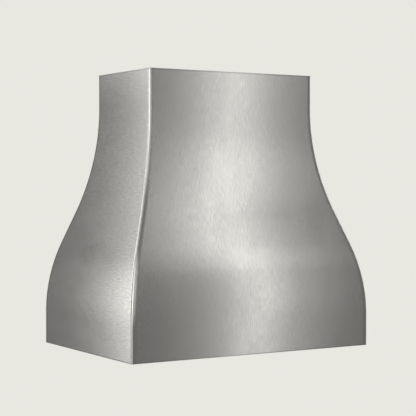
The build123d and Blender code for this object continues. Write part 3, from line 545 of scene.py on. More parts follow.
@dataclass(frozen=True)
class Coating(Finish):
    """Paint, moulded plastic or rubber: a colour with slight clouds, a fine skin and a set gloss.

    The skin is noise of a given grain size and depth, and dust lightens what faces up.
    """

    colour: Colour
    roughness: float
    grain: float = 900.0
    depth: float = 0.00004
    clouds: float = 0.08
    dust: float = 0.0
    coat: float = 0.0
    dust_colour: Colour = (0.42, 0.41, 0.39)

    def draw(self, graph: Graph) -> None:
        """Adds clouds, skin and dust.

        Args:
            graph: The empty graph.
        """
        place = graph.place()
        skin = graph.noise(place, (self.grain,) * 3, 2.0)
        cloud = graph.noise(place, (22.0,) * 3, 4.0)
        colour = graph.tones(graph.ramp(cloud), self.colour, 1.0 - self.clouds, 1.0 + self.clouds)
        if self.dust:
            normal = graph.add("NewGeometry").outputs["Normal"]
            up = graph.add("SeparateXYZ", {"Vector": normal}).outputs[2]
            film = graph.math("MULTIPLY", graph.ramp(up, 0.0, self.dust, 0.2, 1.0), cloud)
            colour = graph.mix(film, colour, self.dust_colour)
        rough = graph.ramp(cloud, self.roughness - 0.04, self.roughness + 0.05)
        graph.surface(colour, rough, graph.bump(skin, self.depth, 0.6), 0.0, Coat_Weight=self.coat,
                      Coat_Roughness=0.2)


@dataclass(frozen=True)
class TurnedMetal(Finish):
    """Lathe-turned metal: fine rings round an axis, as on a knob's face.

    The ring pattern is noise of the radius and level that the piece's pattern map holds.
    """

    colour: Colour
    roughness: float

    def draw(self, graph: Graph) -> None:
        """Adds rings to colour, roughness and relief.

        Args:
            graph: The empty graph.
        """
        ring = graph.noise(graph.pattern(), (2600.0, 1800.0, 1.0))
        colour = graph.tones(graph.ramp(ring), self.colour, 0.86, 1.1)
        rough = graph.ramp(ring, self.roughness + 0.08, self.roughness - 0.04)
        graph.surface(colour, rough, graph.bump(ring, 0.00002, 0.5))


@dataclass(frozen=True)
class FrostedGlass(Finish):
    """Satin-etched lamp glass with a fine prism relief."""

    colour: Colour = (0.90, 0.90, 0.88)

    def draw(self, graph: Graph) -> None:
        """Adds haze and prisms to clear glass.

        Args:
            graph: The empty graph.
        """
        place = graph.place()
        prism = graph.add("TexVoronoi", {"Vector": place, "Scale": 520.0}).outputs["Distance"]
        haze = graph.noise(place, (60.0,) * 3)
        graph.surface(graph.tones(haze, self.colour, 0.94, 1.0), graph.ramp(haze, 0.10, 0.16),
                      graph.bump(prism, 0.00006, 0.4), 0.0, IOR=1.45, Transmission_Weight=0.94)


# Shell


@dataclass
class BellCurve:
    """The bell's outline: straight neck, hollow arc, straight slope, full arc and straight band.

    It starts a little under the ceiling face, at top.
    """

    width: float = 0.914
    depth: float = 0.640
    height: float = 0.928
    flare: float = 0.139
    neck: float = 0.112
    band: float = 0.110
    slope: float = math.radians(19.5)
    shoulder: float = 0.735
    top: float = 0.0015

    def neck_halves(self) -> Pair:
        """Half the neck's width and half its depth."""
        return self.width / 2 - self.flare, self.depth / 2 - self.flare

    def hollow(self) -> float:
        """Radius of the hollow arc, which meets the slope without a kink."""
        rise = (self.height - self.neck - self.band) * math.sin(self.slope)
        return (rise - self.flare * math.cos(self.slope)) / (1 - math.cos(self.slope)) - self.shoulder

    def sample(self, step: float = 0.004) -> tuple[Array, Array, Array, Array]:
        """Points down the outline, evenly spaced on each stretch.

        On the arcs the outline moves out by radius times one minus the cosine of the slope there,
        and down by radius times its sine. The straight stretches join them.

        Args:
            step: Length between two points.

        Returns:
            Distance out from the neck, level, slope angle, and length down the outline.
        """
        hollow, full = self.hollow(), self.shoulder
        turn = np.linspace(0, self.slope, max(3, round(hollow * self.slope / step)))
        back = np.linspace(self.slope, 0, max(3, round(full * self.slope / step)))
        neck = np.linspace(-self.top, -self.neck, max(2, round((self.neck - self.top) / step)))
        band = np.linspace(self.band - self.height, -self.height, max(2, round(self.band / step)))
        throat = np.array([hollow * (1 - np.cos(turn)), -self.neck - hollow * np.sin(turn), turn])
        swell = np.array([self.flare - full * (1 - np.cos(back)), band[0] + full * np.sin(back), back])
        gap = swell[:, :1] - throat[:, -1:]
        run = np.linspace(0, 1, max(3, round(math.hypot(*gap[:2, 0]) / step)))
        out, level, angle = np.concatenate([
            np.array([0 * neck, neck, 0 * neck]), throat[:, 1:], (throat[:, -1:] + gap * run)[:, 1:-1],
            swell, np.array([0 * band + self.flare, band, 0 * band])[:, 1:]], axis=1)
        length = np.concatenate([[0.0], np.cumsum(np.hypot(np.diff(out), np.diff(level)))])
        return out, level, angle, length


@dataclass
class Shell:
    """Four brushed skins and the ground welds of their corners."""

    curve: BellCurve = field(default_factory=BellCurve)
    sheet: float = 0.0012
    corner: float = 0.003
    columns: int = 61
    edge_points: int = 5
    weld_points: int = 9

    def section(self) -> tuple[Array, Array, Array, Array]:
        """Closed loop round a skin's thickness: down the outside, round the edge and up the inside.

        Returns:
            Distance out, level, length down the sheet, and 0 outside or 1 inside.
        """
        out, level, angle, length = self.curve.sample()
        half = self.sheet / 2
        turn = np.linspace(0, math.pi, self.edge_points + 2)[1:-1]
        edge = (out[-1] - half + half * np.cos(turn), level[-1] + half - half * np.sin(turn))
        level[-1] += half
        inner_out = (out - self.sheet * np.cos(angle))[::-1]
        inner_level = (level - self.sheet * np.sin(angle))[::-1]
        inner_level[-1] = level[0]
        return (
            np.concatenate([out, edge[0], inner_out]), np.concatenate([level, edge[1], inner_level]),
            np.concatenate([length, 0 * turn + length[-1], length[::-1]]),
            np.concatenate([0 * out, 0 * turn + 0.5, 0 * out + 1]))

    def skin(self, half_along: float, half_out: float, turn: float) -> list[Patch]:
        """One skin: the section carried level from corner to corner.

        A point is at the section's distance out, and its place along is a share from -1 to 1 of
        the half length at its level, less the corner's radius.

        Args:
            half_along: Half the neck's length along the skin.
            half_out: Half the neck's length across it.
            turn: Angle about the upright axis, 0 for the front.

        Returns:
            The grids of the skin.
        """
        out, level, length, inside = (part[:, None] for part in self.section())
        along = (half_along + out - self.corner * (1 - inside)) * np.linspace(-1, 1, self.columns)
        away = -(half_out + out)
        points = grid(along * math.cos(turn) - away * math.sin(turn),
                      along * math.sin(turn) + away * math.cos(turn), level)
        pattern = grid(along, length)
        caps = []
        count = (len(out) - self.edge_points) // 2
        for column in (points[:, 0], points[:, -1]):
            caps.append(Patch(np.stack([column[:count], column[:-count - 1:-1]], axis=1)))
            tip = column[count - 1:1 - count]
            caps.append(Patch(np.stack([tip, np.linspace(tip[0], tip[-1], len(tip))], axis=1)))
        return [Patch(np.concatenate([points, points[:1]]), np.concatenate([pattern, pattern[:1]]))] + caps

    def weld(self, side: int, end: int) -> list[Patch]:
        """A ground corner: a quarter ring, carried down the corner of the bell.

        At each level the outer arc has the corner's radius and is centred on the same distance
        inside both skins. The inner arc is one sheet thickness nearer its centre.

        Args:
            side: -1 for left or 1 for right.
            end: -1 for front or 1 for back.

        Returns:
            The grids of the corner.
        """
        out, level, _, length = (part[:, None] for part in self.curve.sample())
        count = self.weld_points
        turn = np.linspace(0, math.pi / 2, count)
        turns = np.concatenate([turn, turn[::-1]])
        radius = np.repeat([self.corner, self.corner - self.sheet], count)
        half_x, half_y = self.curve.neck_halves()
        ring = grid(side * (half_x + out - self.corner + radius * np.sin(turns)),
                    end * (half_y + out - self.corner + radius * np.cos(turns)), level)
        caps = [Patch(np.stack([ring[row, :count], ring[row, count:][::-1]])) for row in (0, -1)]
        return [Patch(ring, grid(turns * self.corner, length), wrap=True)] + caps

    def build(self) -> None:
        """Makes the skins and the welds."""
        bottom = float(self.curve.sample()[3][-1])
        upright = BrushedSkin("brushed_upright", True, edge_bottom=bottom).make()
        level = BrushedSkin(
            "brushed_level", False, roughness=0.25, contrast=0.15, edge_bottom=bottom).make()
        # The corner welds are really ground. Their near-white colour, lighter than the steel's own, also
        # paints the bright highlight line along the rounded corners.
        ground = BrushedSkin(
            "ground_corner_painted_highlight", True, (0.95, 0.945, 0.935), 0.30, 0.0, edge_bottom=bottom).make()
        half_x, half_y = self.curve.neck_halves()
        for name, along, away, turn, finish in (
                ("front", half_x, half_y, 0.0, upright), ("back", half_x, half_y, math.pi, upright),
                ("left", half_y, half_x, -math.pi / 2, level), ("right", half_y, half_x, math.pi / 2, level)):
            build_piece(f"{name}_skin", self.skin(along, away, turn), [finish],
                        replaces=(f"{name}_panel",))
        for end_name, end in (("front", -1), ("back", 1)):
            for side_name, side in (("left", -1), ("right", 1)):
                build_piece(f"corner_weld_{end_name}_{side_name}", self.weld(side, end), [ground])


# Finishes of the carried-over nodes


@dataclass
class Trim:
    """Gives every node that stays its own finish."""

    nodes: dict[str, bpy.types.Object]

    def finishes(self) -> list[tuple[Finish, str]]:
        """Each finish, with the nodes that wear it.

        Returns:
            Pairs of a finish and the patterns of its nodes' names, which spaces part.
        """
        return [
            (RolledMetal("ceiling_plate_steel", (0.58, 0.575, 0.565), 0.30, 700.0), "top_plate"),
            (RolledMetal("liner_brushed", (0.60, 0.597, 0.59), 0.27), "liner_pan rim_frame"),
            (RolledMetal("rail_steel", (0.60, 0.6, 0.6), 0.25, 800.0, 0.08),
             "filter_hinge_rail filter_catches"),
            (RolledMetal("hinge_rod_steel", (0.66, 0.66, 0.66), 0.16, 1200.0, 0.06), "filter_hinge_rod"),
            (RolledMetal("filter_frame_steel", (0.64, 0.64, 0.645), 0.22), "filter_*_frame"),
            (RolledMetal("bail_wire", (0.72, 0.72, 0.73), 0.10, 500.0, 0.04), "filter_*_bail"),
            (Spangle("galvanised_sheet"),
             "*_box scroll_* outlet_transition riser_duct damper_collar motor_hanger panel_ribs"),
            (RolledMetal("corner_angle_steel", (0.56, 0.56, 0.565), 0.32, 500.0, 0.08, Axis.Z),
             "corner_angle_*"),
            (RolledMetal("inlet_ring_zinc", (0.60, 0.61, 0.62), 0.30, 300.0, 0.09), "inlet_ring_*"),
            (RolledMetal("impeller_zinc", (0.60, 0.615, 0.63), 0.28, 500.0, 0.1), "impeller_*"),
            (Coating("frame_black_paint", (0.045, 0.045, 0.046), 0.42, 700.0, 0.00006, 0.12, 0.25),
             "ceiling_frame"),
            (RolledMetal("zinc_plating", (0.66, 0.66, 0.63), 0.24, 600.0, 0.1, Axis.Z, (0.52, 0.50, 0.44)),
             "support_rods rod_nuts motor_bearings damper_pin motor_shaft"),
            (RolledMetal("flap_aluminium", (0.72, 0.72, 0.725), 0.3, 500.0), "damper_flap_*"),
            (Coating("black_rubber", (0.035, 0.035, 0.035), 0.62, 1400.0, 0.00005, 0.15, 0.2),
             "damper_seat cable_bushing"),
            (Coating("motor_enamel", (0.05, 0.052, 0.056), 0.34, 500.0, 0.00008, 0.15, 0.3, 0.3),
             "motor_can"),
            (Coating("capacitor_case", (0.74, 0.735, 0.70), 0.45, 800.0, 0.00003, 0.05, 0.1), "capacitor"),
            (Coating("switch_case", (0.05, 0.05, 0.052), 0.5, 1200.0, 0.00004, 0.1, 0.15),
             "fan_switch light_dimmer"),
            (Coating("dial_black_anodised", (0.022, 0.022, 0.024), 0.36, 1100.0, 0.00002, 0.12),
             "dial_plates"),
            (RolledMetal("lamp_casting", (0.62, 0.62, 0.62), 0.42, 400.0, 0.1, Axis.Z), "lamp_housings"),
        ]

    def build(self) -> None:
        """Gives every node one material in all its slots."""
        for finish, patterns in self.finishes():
            material = finish.make()
            for pattern in patterns.split():
                for name in fnmatch.filter(self.nodes, pattern):
                    materials = self.nodes[name].data.materials
                    for index in range(len(materials)):
                        materials[index] = material
                    if not materials:
                        materials.append(material)
                    log.info("%s: %s", name, material.name)


# Liner, filters, lamps and controls


@dataclass
class LinerScrews:
    """Ten pan-head screws with cross recesses, under the rim."""

    level: float = -0.925
    head: float = 0.0046
    height: float = 0.0022
    shank: float = 0.0025
    length: float = 0.009
    tip: float = 0.0006
    reach: Pair = (0.4383, 0.3013)
    cross_half: float = 0.00065
    cross_reach: float = 0.0026
    cross_depth: float = 0.0013
    cross_fade: Pair = (0.0003, 0.0006)
    cross_turn: float = 0.7
    sectors: int = 60

    def places(self) -> list[Pair]:
        """Where the screws stand: six on the short sides and four on the long ones."""
        shares = [(x, y) for x in (-1, 1) for y in (-1, 0, 1)] + [
            (x / 3, y) for x in (-1, 1) for y in (-1, 1)]
        return [(x * self.reach[0], y * self.reach[1]) for x, y in shares]

    def head_grid(self, centre: Pair, turn: float) -> Patch:
        """A domed head whose cross recess is pressed in.

        The dome falls with the square of the radius. The recess is deepest along two crossing
        bands and fades out at their sides and ends.

        Args:
            centre: Place of the screw.
            turn: How far its cross is turned.

        Returns:
            The grid of the head.
        """
        share = np.concatenate([np.linspace(0, 0.93, 20), [0.985, 1.0, 1.0]])
        dome = self.height * (1 - 0.28 * share ** 2)
        dome[-3:] = self.height * np.array([0.62, 0.35, 0.0])
        radius = share[:, None] * self.head
        angle = full_turn(self.sectors)
        off_axis = np.minimum(np.abs(radius * np.cos(angle - turn)), np.abs(radius * np.sin(angle - turn)))
        sides, ends = self.cross_fade
        recess = self.cross_depth * np.clip((self.cross_half - off_axis) / sides, 0, 1)
        recess = recess * np.clip((self.cross_reach - radius) / ends, 0, 1)
        return Patch(grid(centre[0] + radius * np.cos(angle), centre[1] + radius * np.sin(angle),
                          self.level - dome[:, None] + recess), wrap=True)

    def build(self) -> None:
        """Makes the screws."""
        steel = RolledMetal("screw_steel", (0.66, 0.66, 0.65), 0.2).make()
        top = self.level + self.length
        shank = np.array([
            [self.head, self.level], [self.shank, self.level], [self.shank, top - self.tip],
            [self.shank - self.tip, top], [0.0, top]])
        patches = []
        for index, centre in enumerate(self.places()):
            head = self.head_grid(centre, self.cross_turn * index)
            patches += [head, revolve(shank, centre, self.sectors)]
        build_piece("liner_pan_screws", patches, [steel], replaces=("liner_screws",))


@dataclass
class Filters:
    """Baffles with rounded bends, and the rivets of the three filter frames."""

    places: tuple[tuple[str, float], ...] = (("left", -0.26), ("centre", 0.0), ("right", 0.26))
    level: float = -0.8695
    height: float = 0.022
    sheet: float = 0.001
    width: float = 0.254
    front: float = -0.1663
    rear: float = 0.1598
    pitch: float = 0.036
    baffle: Triple = (0.025, 0.009, 0.0008)
    rows: tuple[int, int] = (6, 7)
    end_gap: float = 0.0015
    rivet_inset: float = 0.0075
    rivet_radius: float = 0.0024
    rivet_height: float = 0.0009
    rivet_root: float = 0.0005

    def build(self) -> None:
        """Makes the baffles and rivets of each filter."""
        steel = BrushedSkin("baffle_rolled", False, (0.66, 0.66, 0.665), 0.17, 0.45, 0.12, -1.0, 9.0).make()
        rivet = RolledMetal("rivet_steel", (0.68, 0.68, 0.68), 0.22, contrast=0.06).make()
        span = (self.front + self.end_gap, self.rear - self.end_gap)
        bases = (self.level + self.sheet, self.level + self.height - self.sheet)
        reach = self.width / 2 - self.rivet_inset
        for name, place in self.places:
            patches = []
            for count, base, turn in zip(self.rows, bases, (1, -1)):
                for index in range(count):
                    middle = place + (index - (count - 1) / 2) * self.pitch
                    patches += channel(middle, base, turn, span, self.baffle)
            build_piece(f"filter_{name}_channels", patches, [steel], f"filter_{name}",
                        (f"filter_{name}_baffles",))
            domes = [revolve(self.dome(), (x, y), 24) for x in (place - reach, place + reach)
                     for y in (self.front + self.rivet_inset, self.rear - self.rivet_inset)]
            build_piece(f"filter_{name}_rivets", domes, [rivet], f"filter_{name}")

    def dome(self) -> Array:
        """Outline of a round rivet head: a quarter of an ellipse, closed above inside the frame.

        Returns:
            Radius and level of each point.
        """
        angle = np.linspace(0, math.pi / 2, 7)
        low = np.stack([self.rivet_radius * np.sin(angle), self.level - self.rivet_height * np.cos(angle)])
        root = self.level + self.rivet_root
        return np.concatenate([low.T, [[self.rivet_radius, root], [0.0, root]]])


@dataclass
class Lamps:
    """Bezels with rounded edges, prism lenses, and reflectors with their light sources."""

    centres: tuple[Pair, ...] = ((-0.3, -0.232), (0.3, -0.232), (-0.3, 0.232), (0.3, 0.232))
    ceiling: float = -0.8675
    bezel: float = 0.039
    bore: float = 0.028
    height: float = 0.003
    lip: float = 0.0028
    groove: Triple = (0.0062, 0.0066, 0.0072)
    groove_depth: float = 0.0004
    lens: float = 0.0308
    lens_height: float = 0.003
    prisms: int = 11
    prism_depth: float = 0.00022
    cup: Pair = (0.0085, 0.0295)
    cup_gap: float = 0.0006
    cup_height: float = 0.019
    source: Triple = (0.0082, 0.0012, 0.0004)
    source_level: float = 0.0182

    def build(self) -> None:
        """Makes the lamps' pieces."""
        satin = TurnedMetal("bezel_turned", (0.70, 0.70, 0.705), 0.17).make()
        glass = FrostedGlass("lamp_glass_frosted").make()
        bright = RolledMetal("reflector_aluminium", (0.86, 0.86, 0.86), 0.2, 300.0, 0.03, Axis.Z).make()
        yellow = Coating("light_source_phosphor", (0.82, 0.66, 0.22), 0.5, 1500.0, 0.00003, 0.05).make()
        bezels = [revolve(self.bezel_profile(), centre, 96) for centre in self.centres]
        lenses = [revolve(self.lens_profile(), centre, 96) for centre in self.centres]
        reflectors = []
        for centre in self.centres:
            reflectors.append(revolve(self.reflector_profile(), centre))
            reflectors.append(revolve(self.source_profile(), centre, 32, 1))
        build_piece("lamp_bezel_rings", bezels, [satin], replaces=("lamp_bezels",))
        build_piece("lamp_prism_lenses", lenses, [glass], replaces=("lamp_lenses",))
        build_piece("lamp_reflectors", reflectors, [bright, yellow])

    def bezel_profile(self) -> Array:
        """Outline of the ring: a rounded lip outside, a shallow groove and a step to the lens.

        Returns:
            Radius and level of each point.
        """
        top, bottom, bore = self.ceiling, self.ceiling - self.height, self.bore
        start, middle, end = (bore + reach for reach in self.groove)
        line = round_corners([
            (bore, top, 0), (bore, bottom + 0.0006, 0.0005), (bore + self.lip, bottom, 0.0012),
            (start, bottom, 0.0004), (middle, bottom + self.groove_depth, 0.0002), (end, bottom, 0.0004),
            (self.bezel - 0.0012, bottom, 0.0016), (self.bezel, top, 0)], 6)
        return np.concatenate([line, line[:1]])

    def lens_profile(self) -> Array:
        """Outline of the lens: prism rings pressed into its lower face, half a sine wave each.

        Returns:
            Radius and level of each point.
        """
        radius = np.linspace(0, self.lens, 8 * self.prisms + 1)
        wave = self.prism_depth * np.abs(np.sin(math.pi * radius / (self.lens / self.prisms)))
        top = self.ceiling + self.lens_height
        return np.concatenate([np.stack([radius, self.ceiling + wave], axis=1), [[self.lens, top], [0, top]]])

    def reflector_profile(self) -> Array:
        """Outline of the thin cup: a parabola from the lens up to the light source, and back.

        Returns:
            Radius and level of each point.
        """
        inner, outer = self.cup
        radius = np.linspace(outer, inner, 14)
        rise = self.cup_height * (1 - (radius / outer) ** 2)
        level = self.ceiling + self.lens_height + self.cup_gap + rise
        inside = np.stack([radius, level], axis=1)
        outside = np.stack([radius + 0.0005, level + 0.0004], axis=1)[::-1]
        return np.concatenate([inside, outside, inside[:1]])

    def source_profile(self) -> Array:
        """Outline of the round light source at the cup's neck, with its lower edge cut off.

        Returns:
            Radius and level of each point.
        """
        radius, height, edge = self.source
        low = self.ceiling + self.lens_height + self.source_level
        top = low + height
        return np.array([[0, low], [radius - edge, low], [radius, low + edge], [radius, top], [0, top]])


@dataclass
class Controls:
    """Two turned knobs with inlaid pointers, and the marks on their dial plates."""

    places: tuple[tuple[str, float], ...] = (("fan", -0.045), ("light", 0.045))
    row: float = -0.232
    plate_level: float = -0.8683
    knob_level: float = -0.8691
    height: float = 0.017
    radius: float = 0.019
    grip_inset: float = 0.0012
    grip: Pair = (0.0017, 0.0122)
    grip_fade: float = 0.0006
    wall: float = 0.002
    hub: float = 0.006
    dish: float = 0.0005
    stem: float = 0.003
    stem_top: float = -0.8613
    ribs: int = 60
    rib_depth: float = 0.00035
    pointer_half: float = 0.0009
    pointer_reach: Pair = (0.0054, 0.0135)
    pointer_levels: Pair = (0.00025, 0.0008)
    mark_levels: Pair = (-0.00012, 0.0001)
    dot_reach: float = 0.0232
    dot: float = 0.00045
    dot_growth: float = 0.00011
    bar_reach: float = 0.0210
    bar: Pair = (0.0004, 0.0009)
    numeral_reach: float = 0.0247
    numeral_size: float = 0.0052

    def build(self) -> None:
        """Makes the knobs and marks."""
        white = Coating("mark_enamel", (0.80, 0.80, 0.78), 0.4, 900.0, 0.00001, 0.03).make()
        black = Coating("pointer_enamel", (0.015, 0.015, 0.016), 0.35, 900.0, 0.00001, 0.05).make()
        for name, place in self.places:
            turned = TurnedMetal(f"{name}_knob_turned", (0.60, 0.595, 0.59), 0.24).make()
            build_piece(f"{name}_control_knob", [self.knob(place), self.pointer(place)], [turned, black],
                        f"{name}_knob", (f"{name}_knob",), 28.0)
        (_, fan), (_, light) = self.places
        quarters = np.radians([0, 90, 180, 270])
        marks = [self.spot(fan, turn, self.bar_reach, self.bar) for turn in quarters]
        for index, turn in enumerate(np.radians(np.linspace(0, 270, 11))):
            size = self.dot + self.dot_growth * index
            marks.append(self.spot(light, turn, self.dot_reach, (size, size)))
        build_piece("dial_marks", marks, [white])
        for index, turn in enumerate(quarters):
            self.numeral(str(index), fan, float(turn), white)

    def knob(self, place: float) -> Patch:
        """A knob with fine ribs round its grip, a chamfered edge and a dished face.

        The radius follows the profile, less a rib depth times the cosine of the turn times the
        number of ribs, held above -0.2, on the grip alone.

        Args:
            place: Place of the knob's axis across.

        Returns:
            The grid of the knob.
        """
        top, bottom, edge = self.knob_level, self.knob_level - self.height, self.radius
        hub, grip = bottom + self.hub, edge - self.grip_inset
        profile = round_corners([
            (0, bottom + self.dish, 0), (edge - 0.0052, bottom + self.dish, 0.0004),
            (edge - 0.0046, bottom, 0.0004), (edge - 0.0022, bottom, 0.0009),
            (grip, bottom + 0.0014, 0.0006), (grip, bottom + 0.0125, 0.0008),
            (edge, bottom + 0.0138, 0.0006), (edge, top, 0.0005), (edge - self.wall, top, 0.0005),
            (edge - self.wall, hub, 0.001), (self.stem, hub, 0.0005),
            (self.stem, self.stem_top, 0.0004), (0, self.stem_top, 0)], 4)
        turn = full_turn(6 * self.ribs)
        radius, level = profile[:, :1], profile[:, 1:]
        over, under = level - bottom - self.grip[0], self.grip[1] - (level - bottom)
        ribbed = np.clip(np.minimum(over, under) / self.grip_fade, 0, 1) * (radius > grip - 0.0004)
        wave = radius - self.rib_depth * ribbed * np.maximum(np.cos(self.ribs * turn), -0.2)
        points = grid(place + wave * np.cos(turn), self.row + wave * np.sin(turn), level)
        return Patch(points, grid(wave, level), wrap=True)

    def pointer(self, place: float) -> Patch:
        """The dark line inlaid in the knob's face: a flat bar that points to the front.

        Args:
            place: Place of the knob's axis across.

        Returns:
            The grid of the bar.
        """
        tip, end = (reach - self.radius for reach in self.pointer_reach)
        corners = np.array([[-1, tip], [1, tip], [1, end], [-1, end]]) * (self.pointer_half, 1)
        return slab(corners + (place, self.row), self.knob_level - self.height, self.pointer_levels, 1)

    def spot(self, place: float, angle: float, reach: float, size: Pair) -> Patch:
        """A low oval mark on a dial: an ellipse with closed sides.

        Args:
            place: Place of the dial's axis across.
            angle: The mark's turn from the front, clockwise as seen from below.
            reach: Its distance from the axis.
            size: Half its width, and half its length towards the axis.

        Returns:
            The grid of the mark.
        """
        turn = full_turn(20)[:, None]
        out = np.array([-math.sin(angle), -math.cos(angle)])
        side = np.array([out[1], -out[0]])
        oval = size[0] * np.cos(turn) * side + size[1] * np.sin(turn) * out
        return slab((place, self.row) + out * reach + oval, self.plate_level, self.mark_levels)

    def numeral(self, word: str, place: float, angle: float, finish: Material) -> None:
        """A numeral on the fan's dial, that faces down and reads upright from the front.

        Args:
            word: The numeral.
            place: Place of the dial's axis across.
            angle: Its turn from the front.
            finish: Its material.
        """
        text = bpy.data.curves.new("numeral", "FONT")
        text.body, text.size, text.extrude = word, self.numeral_size, 0.0001
        text.align_x, text.align_y = "CENTER", "CENTER"
        holder = add_object("numeral", text)
        bpy.context.view_layer.update()
        mesh = bpy.data.meshes.new_from_object(holder.evaluated_get(bpy.context.evaluated_depsgraph_get()))
        bpy.data.objects.remove(holder)
        x, y = place - self.numeral_reach * math.sin(angle), self.row - self.numeral_reach * math.cos(angle)
        mesh.transform(Matrix(((1, 0, 0, x), (0, -1, 0, y), (0, 0, -1, self.plate_level), (0, 0, 0, 1))))
        mesh.materials.clear()
        mesh.materials.append(finish)
        numeral = add_object(f"dial_numeral_{word}", mesh)
        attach(numeral, "hood")
        log.info("dial_numeral_%s on hood", word)


@dataclass
class SpotWelds:
    """Spot-weld marks on the ceiling plate, round the duct and along the frame beneath."""

    duct: float = 0.1095
    reach: Pair = (0.3040, 0.1670)
    radius: float = 0.0030
    height: float = 0.00014
    clear: float = 0.00004
    root: float = -0.0002

    def places(self) -> list[Pair]:
        """Eight places round the duct, five along each long side and two along each short one.

        Returns:
            The places.
        """
        turn = full_turn(8) + math.pi / 8
        ring = list(zip(self.duct * np.cos(turn), self.duct * np.sin(turn)))
        x, y = self.reach
        long_sides = [(share * x * 0.8, side * y) for share in (-1, -0.5, 0, 0.5, 1) for side in (-1, 1)]
        short_sides = [(side * x, share * y * 0.45) for share in (-1, 1) for side in (-1, 1)]
        return ring + long_sides + short_sides

    def build(self) -> None:
        """Makes the marks: a raised ring round a shallow dimple, turned about its axis."""
        steel = RolledMetal("weld_mark_steel", (0.42, 0.41, 0.395), 0.38, 1200.0, 0.12).make()
        share = np.linspace(0, 1, 9)
        level = self.clear + self.height * np.sin(math.pi * share ** 2) ** 2
        profile = np.concatenate([
            np.stack([self.radius * share, level], axis=1), [[self.radius, self.root], [0.0, self.root]]])
        marks = [revolve(profile, place, 24) for place in self.places()]
        build_piece("ceiling_plate_spot_welds", marks, [steel])


# Studio


@dataclass(frozen=True)
class FadingFloor(Finish):
    """A pale matt floor that fades out towards its rim and is clear from below."""

    colour: Colour
    fade: Pair

    def draw(self, graph: Graph) -> None:
        """Adds the matt colour, clear where the floor has faded or is seen from below.

        Args:
            graph: The empty graph.
        """
        inputs = {0: graph.place(), 1: (1.0, 1.0, 0.0)}
        flat = graph.add("VectorMath", inputs, operation="MULTIPLY").outputs[0]
        reach = graph.add("VectorMath", {0: flat}, operation="LENGTH").outputs["Value"]
        below = graph.add("NewGeometry").outputs["Backfacing"]
        clear = graph.math("MAXIMUM", graph.ramp(reach, 0.0, 1.0, *self.fade), below)
        matt = graph.add("BsdfDiffuse", {"Color": (*self.colour, 1.0)}).outputs[0]
        air = graph.add("BsdfTransparent").outputs[0]
        graph.close(graph.add("MixShader", {0: clear, 1: matt, 2: air}).outputs[0])


@dataclass(frozen=True)
class Softbox:
    """A soft lamp that shines towards a point, with its long side upright or leaning by degrees."""

    name: str
    place: Triple
    target: Triple
    size: Pair
    power: float
    lean: float = 0.0

    def build(self) -> None:
        """Makes the lamp. It lights and mirrors in the metal but isn't seen itself."""
        lamp = bpy.data.lights.new(self.name, "AREA")
        lamp.shape = "ELLIPSE"
        lamp.size, lamp.size_y = self.size
        lamp.energy = self.power
        holder = add_object(self.name, lamp)
        place = Vector(self.place)
        facing = (place - Vector(self.target)).to_track_quat("Z", "Y").to_matrix().to_4x4()
        lean = Matrix.Rotation(math.radians(-self.lean), 4, "Z")
        holder.matrix_world = Matrix.Translation(place) @ facing @ lean
        holder.visible_camera = False
        log.info("%s: %.0f W", self.name, self.power)


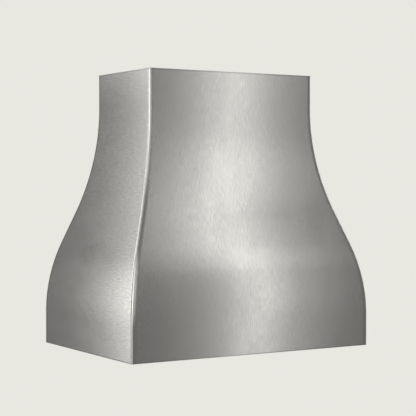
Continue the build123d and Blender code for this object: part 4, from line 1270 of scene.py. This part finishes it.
@dataclass
class Studio:
    """Camera, lamps, floor and backdrop."""

    eye: Triple = (-2.2898, -3.7688, -0.3672)
    turn: float = math.radians(-31.42)
    tilt: float = math.radians(1.17)
    lens: float = 110.16
    pale: Colour = (0.8069, 0.8069, 0.7529)
    room: float = 0.20
    backdrop_edge: Pair = (math.radians(32), math.radians(14))
    room_rise: Pair = (-0.5, 0.8)
    floor_level: float = -2.55
    floor_radius: float = 5.6
    floor_fade: Pair = (0.35, 0.98)
    softboxes: tuple[Softbox, ...] = (
        Softbox("front_strip", (0.65, -1.20, 0.10), (0.65, 0.0, 0.10), (0.20, 3.3), 2.45, 4.0),
        Softbox("front_wall", (0.67, -1.26, -0.50), (0.67, 0.0, -0.50), (0.80, 3.3), 1.15, 4.0),
        Softbox("front_high", (2.30, -3.50, 1.50), (0.10, -0.30, -0.40), (0.30, 1.8), 1.45, 4.0),
        Softbox("left_strip", (-1.75, 1.80, -0.05), (-0.4, -0.10, -0.05), (0.50, 3.2), 5.8),
        Softbox("left_wall", (-1.75, 1.20, -0.10), (-0.4, -0.70, -0.10), (0.80, 3.2), 4.0),
        Softbox("left_high", (-1.75, 2.60, 0.50), (-0.4, 0.70, 0.50), (0.50, 0.5), 0.55),
        Softbox("corner_card", (-2.9, -1.6, 0.0), (0.0, 0.0, -0.5), (1.8, 2.8), 40.0),
        Softbox("front_fill", (-0.5, -3.4, 0.3), (0.0, 0.0, -0.4), (1.8, 2.6), 6.0),
        Softbox("back_strip", (0.30, 1.75, 0.2), (0.1, 0.0, 0.0), (0.25, 2.4), 2.5),
        Softbox("right_strip", (1.95, -0.2, 0.2), (0.4, 0.1, 0.0), (0.30, 2.4), 4.0),
        Softbox("under", (0.0, -0.5, -2.40), (0.0, 0.0, -0.9), (2.2, 2.2), 7.0),
        Softbox("overhead", (0.2, -0.3, 2.3), (0.0, 0.0, 0.0), (2.0, 2.0), 8.0),
    )

    def build(self) -> None:
        """Sets the camera, the world, the lamps and the floor."""
        bpy.context.scene.view_settings.view_transform = "Standard"
        self.build_camera()
        self.build_world()
        self.build_floor()
        for softbox in self.softboxes:
            softbox.build()

    def build_camera(self) -> None:
        """Stands the camera where the photograph was taken."""
        data = bpy.data.cameras.new("camera")
        data.sensor_width = 36.0
        data.lens = self.lens
        camera = add_object("camera", data)
        camera.location = self.eye
        camera.rotation_euler = (math.pi / 2 - self.tilt, 0.0, self.turn)
        bpy.context.scene.camera = camera

    def build_world(self) -> None:
        """A pale backdrop behind the hood, fading into a mid-grey room around it."""
        world = bpy.data.worlds.new("studio_world")
        world.use_nodes = True
        bpy.context.scene.world = world
        graph = Graph(world.node_tree)
        path = graph.add("LightPath").outputs
        way = graph.add("TexCoord").outputs["Generated"]
        inputs = {0: way, 1: (-math.sin(self.turn), math.cos(self.turn), 0.0)}
        facing = graph.add("VectorMath", inputs, operation="DOT_PRODUCT").outputs["Value"]
        behind = graph.ramp(facing, 0.0, 1.0, *np.cos(self.backdrop_edge))
        mirrored = graph.math("ADD", path["Is Glossy Ray"], path["Is Transmission Ray"])
        seen = graph.math("MULTIPLY_ADD", mirrored, behind, path["Is Camera Ray"])
        level = graph.add("SeparateXYZ", {"Vector": way}).outputs[2]
        rise = graph.ramp(level, 0.0, 1.0, *self.room_rise)
        room = graph.tones(rise, (self.room,) * 3, 0.86, 1.2)
        colour = graph.mix(graph.math("MINIMUM", seen, 1.0), room, self.pale)
        light = graph.add("Background", {"Color": colour, "Strength": 1.0})
        graph.add("OutputWorld", {"Surface": light.outputs[0]})

    def build_floor(self) -> None:
        """A round floor: rings of points whose radius shrinks evenly from the rim to the middle."""
        radius = np.linspace(self.floor_radius, 0.0, 12)[:, None]
        turn = full_turn(64)
        points = grid(radius * np.cos(turn), radius * np.sin(turn), self.floor_level)
        mesh = join_patches("floor", [Patch(points, wrap=True)])
        if mesh.polygons[0].normal.z < 0:
            mesh.flip_normals()
        fade = tuple(share * self.floor_radius for share in self.floor_fade)
        mesh.materials.append(FadingFloor("pale_floor", self.pale, fade).make())
        add_object("floor", mesh)


def main() -> None:
    """Loads the frame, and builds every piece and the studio."""
    logging.basicConfig(level=logging.INFO, format="%(name)s %(message)s")
    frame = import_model()
    for assembly in (Shell, LinerScrews, Filters, Lamps, Controls, SpotWelds):
        assembly().build()
    Trim(frame["nodes"]).build()
    Studio().build()
    bpy.context.view_layer.update()


if __name__ == "__main__":
    main()
